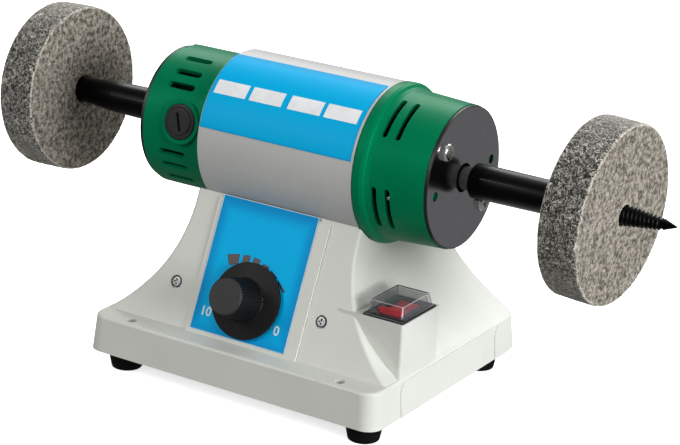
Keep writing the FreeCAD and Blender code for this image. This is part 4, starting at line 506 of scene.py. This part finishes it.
for node in nodes.values():
    slot = node.material_slots[0]
    slot.material = finishes.get(slot.material.name, slot.material)
# the case screws get the darker metal as painted shade of their recesses
nodes["case_screws"].material_slots[0].material = drawnMetal("recess_shaded_screw", recessShadedScrew)
print("finishes on the solids")


# floor
floorLook = {"size": 6.0, "colour": tone(250, 250, 250), "glow": 0.75, "roughness": 0.9,
             "shine": 0.1}
bpy.ops.mesh.primitive_plane_add(size=floorLook["size"], location=(0, 0, 0))
floor = bpy.context.object
floor.name = "floor"
floorFinish = Finish("floor", {"Roughness": floorLook["roughness"],
                               "Specular IOR Level": floorLook["shine"],
                               "Emission Strength": floorLook["glow"]})
floorFinish.feed("Base Color", floorLook["colour"])
floorFinish.feed("Emission Color", floorLook["colour"])
floor.data.materials.append(floorFinish.material)
floor.visible_diffuse = False
floor.visible_glossy = False
print("floor laid")


# tools for new pieces
def choose(piece, test, kind="FACE"):
    bpy.ops.object.mode_set(mode="EDIT")
    bpy.ops.mesh.select_mode(type=kind)
    bpy.ops.mesh.select_all(action="DESELECT")
    bpy.ops.object.mode_set(mode="OBJECT")
    group = {"FACE": piece.data.polygons, "EDGE": piece.data.edges,
             "VERT": piece.data.vertices}[kind]
    for part in group:
        part.select = bool(test(part))
    bpy.ops.object.mode_set(mode="EDIT")


def pickOnly(piece):
    bpy.ops.object.select_all(action="DESELECT")
    piece.select_set(True)
    bpy.context.view_layer.objects.active = piece


def settle(piece, name, body, finish=None):
    bpy.ops.object.mode_set(mode="OBJECT")
    pickOnly(piece)
    bpy.ops.object.transform_apply(location=True, rotation=True, scale=True)
    piece.name = name
    piece.data.name = name
    if finish:
        piece.data.materials.clear()
        piece.data.materials.append(finish)
    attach(piece, body)


def useModifier(piece, kind, settings):
    modifier = piece.modifiers.new(kind.lower(), kind)
    for name, setting in settings.items():
        setattr(modifier, name, setting)
    bpy.context.view_layer.objects.active = piece
    bpy.ops.object.modifier_apply(modifier=modifier.name)


def edgeLine(piece, edge):
    first, last = [piece.data.vertices[index].co for index in edge.vertices]
    return last - first


def edgeMiddle(piece, edge):
    first, last = [piece.data.vertices[index].co for index in edge.vertices]
    return (first + last) / 2


def edgeRadius(piece, edge):
    at = edgeMiddle(piece, edge)
    return math.hypot(at.y, at.z - axisZ)


# polishing wheels
wheel = {
    "radius": 0.03767,
    "width": 0.0190,
    "around": 520,
    "faceRings": 40,
    "rimRows": 32,
    "edgeRound": 0.0018,
    "edgeSteps": 5,
    "faceReach": 0.4,  # share of the rounding that still counts as the rim
    "crown": 0.0001,
    "wearReach": 0.0021,
    "mouthWear": 0.9,
    "unevenness": [
        {"name": "lumps", "size": 0.007, "depth": 0.00014, "noise": "SOFT_NOISE"},
        {"name": "tufts", "size": 0.0009, "depth": 0.0005, "noise": "HARD_NOISE"},
    ],
}
wheels = [
    {"name": "right_fibre_wheel", "node": "right_wheel", "middle": 0.1372, "tilt": 2.0, "turn": 2.8,
     "innerBore": 0.0068, "outerBore": 0.0047, "seed": 3},
    {"name": "left_fibre_wheel", "node": "left_wheel", "middle": -0.1340, "tilt": -1.4, "turn": 0.0,
     "innerBore": 0.0060, "outerBore": 0.0052, "seed": 8},
]

rimFibre = {
    "clumpScale": 620.0, "patchScale": 110.0, "wearScale": 380.0, "fuzz": 0.7,
    "darkColour": tone(20, 20, 19), "groundColour": tone(84, 82, 78),
    "threadColour": tone(198, 194, 185), "paleColour": tone(232, 228, 218),
    "wornColour": tone(226, 220, 206),
    "threadShare": 1.0, "reliefStrength": 0.8, "reliefDepth": 0.0005,
    "layers": [
        {"scale": 235.0, "twist": 1.6, "rings": 16.0, "width": 0.5, "stretch": (1.3, 1.0, 1.0),
         "breakScale": 560.0, "breakLow": 0.40, "breakHigh": 0.5},
        {"scale": 330.0, "twist": 1.2, "rings": 13.0, "width": 0.45, "stretch": (0.9, 1.1, 1.1),
         "breakScale": 700.0, "breakLow": 0.43, "breakHigh": 0.52},
    ],
}
faceFibre = {
    "clumpScale": 520.0, "patchScale": 55.0, "wearScale": 420.0, "fuzz": 0.25,
    "darkColour": tone(70, 66, 59), "groundColour": tone(156, 149, 138),
    "threadColour": tone(186, 179, 166), "paleColour": tone(210, 205, 194),
    "wornColour": tone(216, 210, 196),
    "threadShare": 0.65, "reliefStrength": 0.5, "reliefDepth": 0.0003,
    "layers": [
        {"scale": 230.0, "twist": 1.6, "rings": 14.0, "width": 0.4, "stretch": (1.0, 1.0, 1.0),
         "breakScale": 460.0, "breakLow": 0.46, "breakHigh": 0.56},
        {"scale": 420.0, "twist": 0.8, "rings": 11.0, "width": 0.4, "stretch": (1.0, 1.0, 1.0),
         "breakScale": 800.0, "breakLow": 0.5, "breakHigh": 0.6},
    ],
}
rimFinish = fibre("wheel_rim", rimFibre)
faceFinish = fibre("wheel_face", faceFibre)


# a short cylinder with both corners rounded over
def startWheel(place):
    bpy.ops.object.select_all(action="DESELECT")
    bpy.ops.mesh.primitive_cylinder_add(
        vertices=wheel["around"], radius=wheel["radius"], depth=wheel["width"],
        location=(place["middle"], 0, axisZ), rotation=(0, math.pi / 2, 0))
    piece = bpy.context.object
    bpy.ops.object.transform_apply(location=True, rotation=True, scale=True)
    half = wheel["width"] / 2
    tiny = 1e-5
    choose(piece, lambda edge: abs(abs(edgeMiddle(piece, edge).x - place["middle"]) - half) < tiny,
           "EDGE")
    bpy.ops.mesh.bevel(offset=wheel["edgeRound"], segments=wheel["edgeSteps"], affect="EDGES")
    return piece


# both end faces drawn in ring by ring, then joined through
def boreWheel(piece, place):
    level = 0.9  # an end face's normal lies at least this much along the spindle
    manySides = 8
    for side in (-1, 1):
        outside = side * place["middle"] > 0
        bore = place["outerBore"] if outside else place["innerBore"]
        step = (wheel["radius"] - wheel["edgeRound"] - bore) / wheel["faceRings"]
        choose(piece, lambda face: face.normal.x * side > level and len(face.vertices) > manySides)
        for ring in range(wheel["faceRings"]):
            bpy.ops.mesh.inset(thickness=step, use_even_offset=False)
    choose(piece, lambda face: abs(face.normal.x) > level and len(face.vertices) > manySides)
    bpy.ops.mesh.bridge_edge_loops()


# rows across the rim, between the two rounded corners
def rowWheel(piece):
    choose(piece, lambda edge: abs(edgeLine(piece, edge).x) > wheel["width"] / 2
           and edgeRadius(piece, edge) > wheel["radius"] - wheel["edgeRound"] / 2, "EDGE")
    bpy.ops.mesh.subdivide(number_cuts=wheel["rimRows"])
    choose(piece, lambda face: True)
    bpy.ops.mesh.normals_make_consistent(inside=False)
    bpy.ops.object.mode_set(mode="OBJECT")
    bpy.ops.object.shade_smooth()
    piece.data.materials.clear()
    piece.data.materials.append(rimFinish)
    piece.data.materials.append(faceFinish)
    for face in piece.data.polygons:
        away = math.hypot(face.center.y, face.center.z - axisZ)
        onFace = away < wheel["radius"] - wheel["edgeRound"] * wheel["faceReach"]
        face.material_index = 1 if onFace else 0


# a full rim between its worn corners, and where the felt is worn
def dressWheel(piece, place):
    wear = piece.data.attributes.new("wear", "FLOAT", "POINT")
    outer = 1 if place["middle"] > 0 else -1
    half = wheel["width"] / 2
    for point in piece.data.vertices:
        along = point.co.x - place["middle"]
        away = math.hypot(point.co.y, point.co.z - axisZ)
        corner = math.hypot(half - abs(along), wheel["radius"] - away)
        mouth = abs(away - place["outerBore"]) + abs(half * outer - along)
        wear.data[point.index].value = max(0.0, 1 - corner / wheel["wearReach"],
                                           wheel["mouthWear"] - mouth / wheel["wearReach"])
        if away > wheel["radius"] - wheel["edgeRound"]:
            swell = 1 + wheel["crown"] / away * (1 - (along / half) ** 2)
            point.co.y *= swell
            point.co.z = axisZ + (point.co.z - axisZ) * swell


def clouds(name, layer):
    texture = bpy.data.textures.new(name, "CLOUDS")
    texture.noise_scale = layer["size"]
    texture.noise_depth = 2
    texture.noise_type = layer["noise"]
    return texture


# lumps and tufts in the felt, drawn from another place in the noise for each wheel
def roughenWheel(piece, place):
    random.seed(place["seed"])
    shift = (random.uniform(-1, 1), random.uniform(-1, 1), random.uniform(-1, 1))
    bpy.ops.object.empty_add(location=shift)
    marker = bpy.context.object
    for layer in wheel["unevenness"]:
        useModifier(piece, "DISPLACE", {
            "texture": clouds(place["name"] + "_" + layer["name"], layer),
            "strength": layer["depth"], "mid_level": 1.0,
            "texture_coords": "OBJECT", "texture_coords_object": marker})
    bpy.data.objects.remove(marker)


# each wheel sits a little askew on its screw taper
def tiltWheel(piece, place):
    pickOnly(piece)
    choose(piece, lambda face: True)
    for degrees, axis in ((-place["tilt"], "Y"), (place["turn"], "Z")):
        bpy.ops.transform.rotate(value=math.radians(degrees), orient_axis=axis,
                                 orient_type="GLOBAL",
                                 center_override=(place["middle"], 0, axisZ))


def makeWheel(place):
    piece = startWheel(place)
    boreWheel(piece, place)
    rowWheel(piece)
    dressWheel(piece, place)
    roughenWheel(piece, place)
    tiltWheel(piece, place)
    settle(piece, place["name"], "rotor")
    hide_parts(place["node"])


for place in wheels:
    makeWheel(place)
print("wheels made")

# print on the two labels
ink = {"shine": 0.25, "patchScale": 150.0, "patchAmount": 0.05, "grainScale": 2600.0,
       "roughnessSpread": 0.1, "grainStrength": 0.12, "grainDepth": 0.00002, "roughness": 0.34}
whiteInk = coated("white_ink", {**ink, "colour": tone(232, 234, 236)})
scaleInk = coated("scale_ink", {**ink, "colour": tone(76, 64, 68)})
outlineInk = coated("outline_ink", {**ink, "colour": tone(34, 40, 58)})
borderInk = coated("border_ink", {**ink, "colour": tone(188, 206, 214)})

boxes = {
    "lefts": (-0.0344, -0.0164, 0.0028, 0.0207),
    "width": 0.0160,
    "lowTurn": 38.9,  # degrees up from the front of the shell
    "highTurn": 49.9,
    "radius": 0.03431,
    "film": 0.00003,
    "steps": 10,
}


# one blank box: an edge along the motor, swept round its axis
def modelDataBox():
    bpy.ops.object.select_all(action="DESELECT")
    low = math.radians(boxes["lowTurn"])
    out = Vector((0, -math.cos(low), math.sin(low)))
    at = Vector((boxes["lefts"][0] + boxes["width"] / 2, 0, axisZ)) + out * boxes["radius"]
    bpy.ops.mesh.primitive_plane_add(size=boxes["width"], location=at)
    piece = bpy.context.object
    bpy.ops.object.transform_apply(location=True, rotation=True, scale=True)
    choose(piece, lambda point: point.co.y > at.y, "VERT")
    bpy.ops.mesh.delete(type="VERT")
    choose(piece, lambda point: True, "VERT")
    bpy.ops.transform.translate(value=(0, boxes["width"] / 2, 0))
    bpy.ops.mesh.spin(steps=boxes["steps"], angle=math.radians(boxes["highTurn"]) - low,
                      center=(0, 0, axisZ), axis=(1, 0, 0))
    bpy.ops.mesh.select_all(action="SELECT")
    bpy.ops.mesh.normals_make_consistent(inside=False)
    bpy.ops.object.mode_set(mode="OBJECT")
    # an open strip has no inside, so it is turned to face forwards
    if piece.data.polygons[0].normal.y > 0:
        choose(piece, lambda face: True)
        bpy.ops.mesh.flip_normals()
        bpy.ops.object.mode_set(mode="OBJECT")
    useModifier(piece, "SOLIDIFY", {"thickness": boxes["film"], "offset": 1.0})
    return piece


def copyAlong(piece, distance):
    pickOnly(piece)
    bpy.ops.object.duplicate()
    twin = bpy.context.object
    twin.location.x = distance
    return twin


first = modelDataBox()
row = [first] + [copyAlong(first, left - boxes["lefts"][0]) for left in boxes["lefts"][1:]]
for index, piece in enumerate(row):
    settle(piece, "data_box_" + str(index), "stand", whiteInk)

# panel plane, from the foot of the front wall up the slope
panel = {
    "foot": (0.0, -0.0495, 0.0255),
    "lean": panelLean,
    "face": 0.0011,
    "knobX": -0.0022,
    "knobUp": 0.0185,
}


def onPanel(x, up, out):
    lean = math.radians(panel["lean"])
    return (Vector(panel["foot"]) + Vector((x, math.sin(lean) * up, math.cos(lean) * up))
            + Vector((0, -math.cos(lean), math.sin(lean))) * (panel["face"] + out))


def standOnPanel(piece, x, up, out):
    bpy.ops.object.mode_set(mode="OBJECT")
    piece.data.transform(Matrix.Translation(onPanel(x, up, out))
                         @ Matrix.Rotation(math.radians(90 - panel["lean"]), 4, "X"))


# a flat four-sided piece from its corners: low left, low right, high left, high right
def quad(corners):
    bpy.ops.object.select_all(action="DESELECT")
    bpy.ops.mesh.primitive_plane_add(size=1, location=(0, 0, 0))
    piece = bpy.context.object
    for point, corner in zip(piece.data.vertices, corners):
        point.co = (*corner, 0)
    return piece


# a border of one ink round a field of another
def outlineFace(piece, border, borderFinish, fieldFinish):
    choose(piece, lambda face: True)
    bpy.ops.mesh.inset(thickness=border)
    bpy.ops.object.mode_set(mode="OBJECT")
    piece.data.materials.append(borderFinish)
    piece.data.materials.append(fieldFinish)
    for face in piece.data.polygons:
        face.material_index = 1 if face.select else 0


panelFilm = {
    "left": -0.0270, "right": 0.0213, "low": 0.0012, "high": 0.0600,
    "corner": 0.0006, "cornerSteps": 4, "border": 0.0003, "thickness": 0.0002,
}
# the darker band round the edges includes painted shadow of the motor shell along the film's top
panelBlue = {**labelBlue, "left": panelFilm["left"], "right": panelFilm["right"],
             "low": 0.0267, "high": 0.0802, "fade": 0.0065,
             "colour": tone(0, 178, 236), "edgeColour": tone(0, 144, 208)}


def makePanelFilm():
    left, right = panelFilm["left"], panelFilm["right"]
    low, high = panelFilm["low"], panelFilm["high"]
    piece = quad([(left, low), (right, low), (left, high), (right, high)])
    choose(piece, lambda point: True, "VERT")
    bpy.ops.mesh.bevel(offset=panelFilm["corner"], segments=panelFilm["cornerSteps"],
                       affect="VERTICES")
    outlineFace(piece, panelFilm["border"], borderInk, printedLabel("panel_blue", panelBlue))
    useModifier(piece, "SOLIDIFY", {"thickness": panelFilm["thickness"], "offset": -1.0})
    standOnPanel(piece, 0, 0, 0)
    settle(piece, "panel_film", "stand")
    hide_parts("panel_label")


makePanelFilm()

# corners of each block, from the knob's middle: the two next to the block before, then the far two
scaleBlocks = {
    "film": 0.00003,
    "lift": 0.00001,
    "outline": 0.0003,
    "blocks": [
        [(-0.01360, 0.01268), (-0.01565, 0.01696), (-0.00952, 0.01845), (-0.00929, 0.01409)],
        [(-0.00767, 0.01461), (-0.00783, 0.01836), (-0.00427, 0.01893), (-0.00397, 0.01522)],
        [(-0.00272, 0.01480), (-0.00236, 0.01866), (0.00111, 0.01814), (0.00079, 0.01561)],
        [(0.00206, 0.01506), (0.00285, 0.01702), (0.00609, 0.01628), (0.00570, 0.01439)],
        [(0.00715, 0.01379), (0.00751, 0.01520), (0.01099, 0.01282), (0.01072, 0.01158)],
        [(0.01192, 0.01070), (0.01195, 0.01187), (0.01655, 0.00804), (0.01567, 0.00737)],
    ],
}


def makeScaleBlock(index, block):
    inner, outer, farOuter, farInner = block
    piece = quad([inner, farInner, outer, farOuter])
    outlineFace(piece, scaleBlocks["outline"], outlineInk, scaleInk)
    useModifier(piece, "SOLIDIFY", {"thickness": scaleBlocks["film"], "offset": 1.0})
    standOnPanel(piece, panel["knobX"], panel["knobUp"], scaleBlocks["lift"])
    settle(piece, "scale_block_" + str(index), "stand")


for index, block in enumerate(scaleBlocks["blocks"]):
    makeScaleBlock(index, block)

# the ends of the speed scale, placed from the knob's middle
numerals = {
    "size": 0.0056,
    "up": -0.0105,
    "film": 0.00003,
    "fattening": 0.012,  # share of the size
    "digits": [
        {"words": "0", "name": "numeral_low", "x": 0.0172},
        {"words": "10", "name": "numeral_high", "x": -0.0188},
    ],
}


def makeNumeral(digit):
    bpy.ops.object.select_all(action="DESELECT")
    bpy.ops.object.text_add()
    piece = bpy.context.object
    piece.data.body = digit["words"]
    piece.data.size = numerals["size"]
    piece.data.align_x = "CENTER"
    piece.data.offset = numerals["size"] * numerals["fattening"]
    piece.data.extrude = numerals["film"]
    bpy.ops.object.convert(target="MESH")
    piece = bpy.context.object
    standOnPanel(piece, panel["knobX"] + digit["x"], panel["knobUp"] + numerals["up"],
                 numerals["film"])
    settle(piece, digit["name"], "stand", whiteInk)


for digit in numerals["digits"]:
    makeNumeral(digit)
print("label print made")


# the clear cover's corners, where the light gathers
coverCorners = {
    "leanX": 0.0008,
    "leanY": 0.0017,
    "bar": 0.00055,
    "inset": 0.0002,
    "cornerCut": 0.0003,
    "smoothTo": 40,
    "ior": coverClear["ior"],
    "shine": 0.6,
    "streakScale": 900.0,
    "alpha": 0.72,
    "alphaSpread": 0.3,
    "roughness": 0.14,
    "roughnessSpread": 0.08,
    "reliefStrength": 0.15,
    "reliefDepth": 0.00004,
    "blend": 0.15,
    # the two colours are a painted highlight and a painted shade
    "highlightColour": tone(236, 226, 232),
    "darkColour": tone(54, 58, 58),
}


# painted highlight on the corners towards the front right, painted shade on the far ones
def cornerFinish(low, high):
    look = coverCorners
    finish = Finish("cover_corners", {"IOR": look["ior"], "Specular IOR Level": look["shine"]})
    streak = finish.noise(look["streakScale"], detail=2.0)
    near = ((finish.axis("X") - low.x) * (1 / (high.x - low.x))
            - (finish.axis("Y") - low.y) * (1 / (high.y - low.y)))
    finish.feed("Base Color", finish.mix(finish.between(near, -look["blend"], look["blend"]),
                                         look["darkColour"], look["highlightColour"]))
    finish.feed("Alpha", look["alpha"] + (streak - 0.5) * look["alphaSpread"])
    finish.feed("Roughness", look["roughness"] + (streak - 0.5) * look["roughnessSpread"])
    finish.feed("Normal", finish.bump(streak, look["reliefStrength"], look["reliefDepth"]))
    return finish.material


def makeCoverCorners():
    bpy.ops.object.select_all(action="DESELECT")
    low, high = [Vector(corner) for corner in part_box("switch_boot")]
    middle = (low + high) / 2
    size = high - low - Vector((coverCorners["inset"],) * 3) * 2
    bpy.ops.mesh.primitive_cube_add(size=1, location=middle, scale=size)
    piece = bpy.context.object
    bpy.ops.object.transform_apply(location=True, rotation=True, scale=True)
    for point in piece.data.vertices:
        if point.co.z > middle.z:
            point.co.x -= math.copysign(coverCorners["leanX"], point.co.x - middle.x)
            point.co.y -= math.copysign(coverCorners["leanY"], point.co.y - middle.y)
    choose(piece, lambda edge: abs(edgeLine(piece, edge).z) > size.z / 2, "EDGE")
    bpy.ops.mesh.bevel(offset=coverCorners["cornerCut"], segments=1, affect="EDGES")
    bpy.ops.object.mode_set(mode="OBJECT")
    useModifier(piece, "WIREFRAME", {"thickness": coverCorners["bar"], "use_even_offset": False,
                                     "offset": -1.0})
    # the foot of the frame stands in the bezel, where no light gathers
    choose(piece, lambda face: True)
    bpy.ops.mesh.bisect(plane_co=(0, 0, low.z + coverCorners["bar"] * 2), plane_no=(0, 0, 1),
                        clear_inner=True, use_fill=True)
    bpy.ops.object.mode_set(mode="OBJECT")
    bpy.ops.object.shade_smooth_by_angle(angle=math.radians(coverCorners["smoothTo"]))
    settle(piece, "cover_corners", "stand", cornerFinish(low, high))


makeCoverCorners()
print("cover corners made")
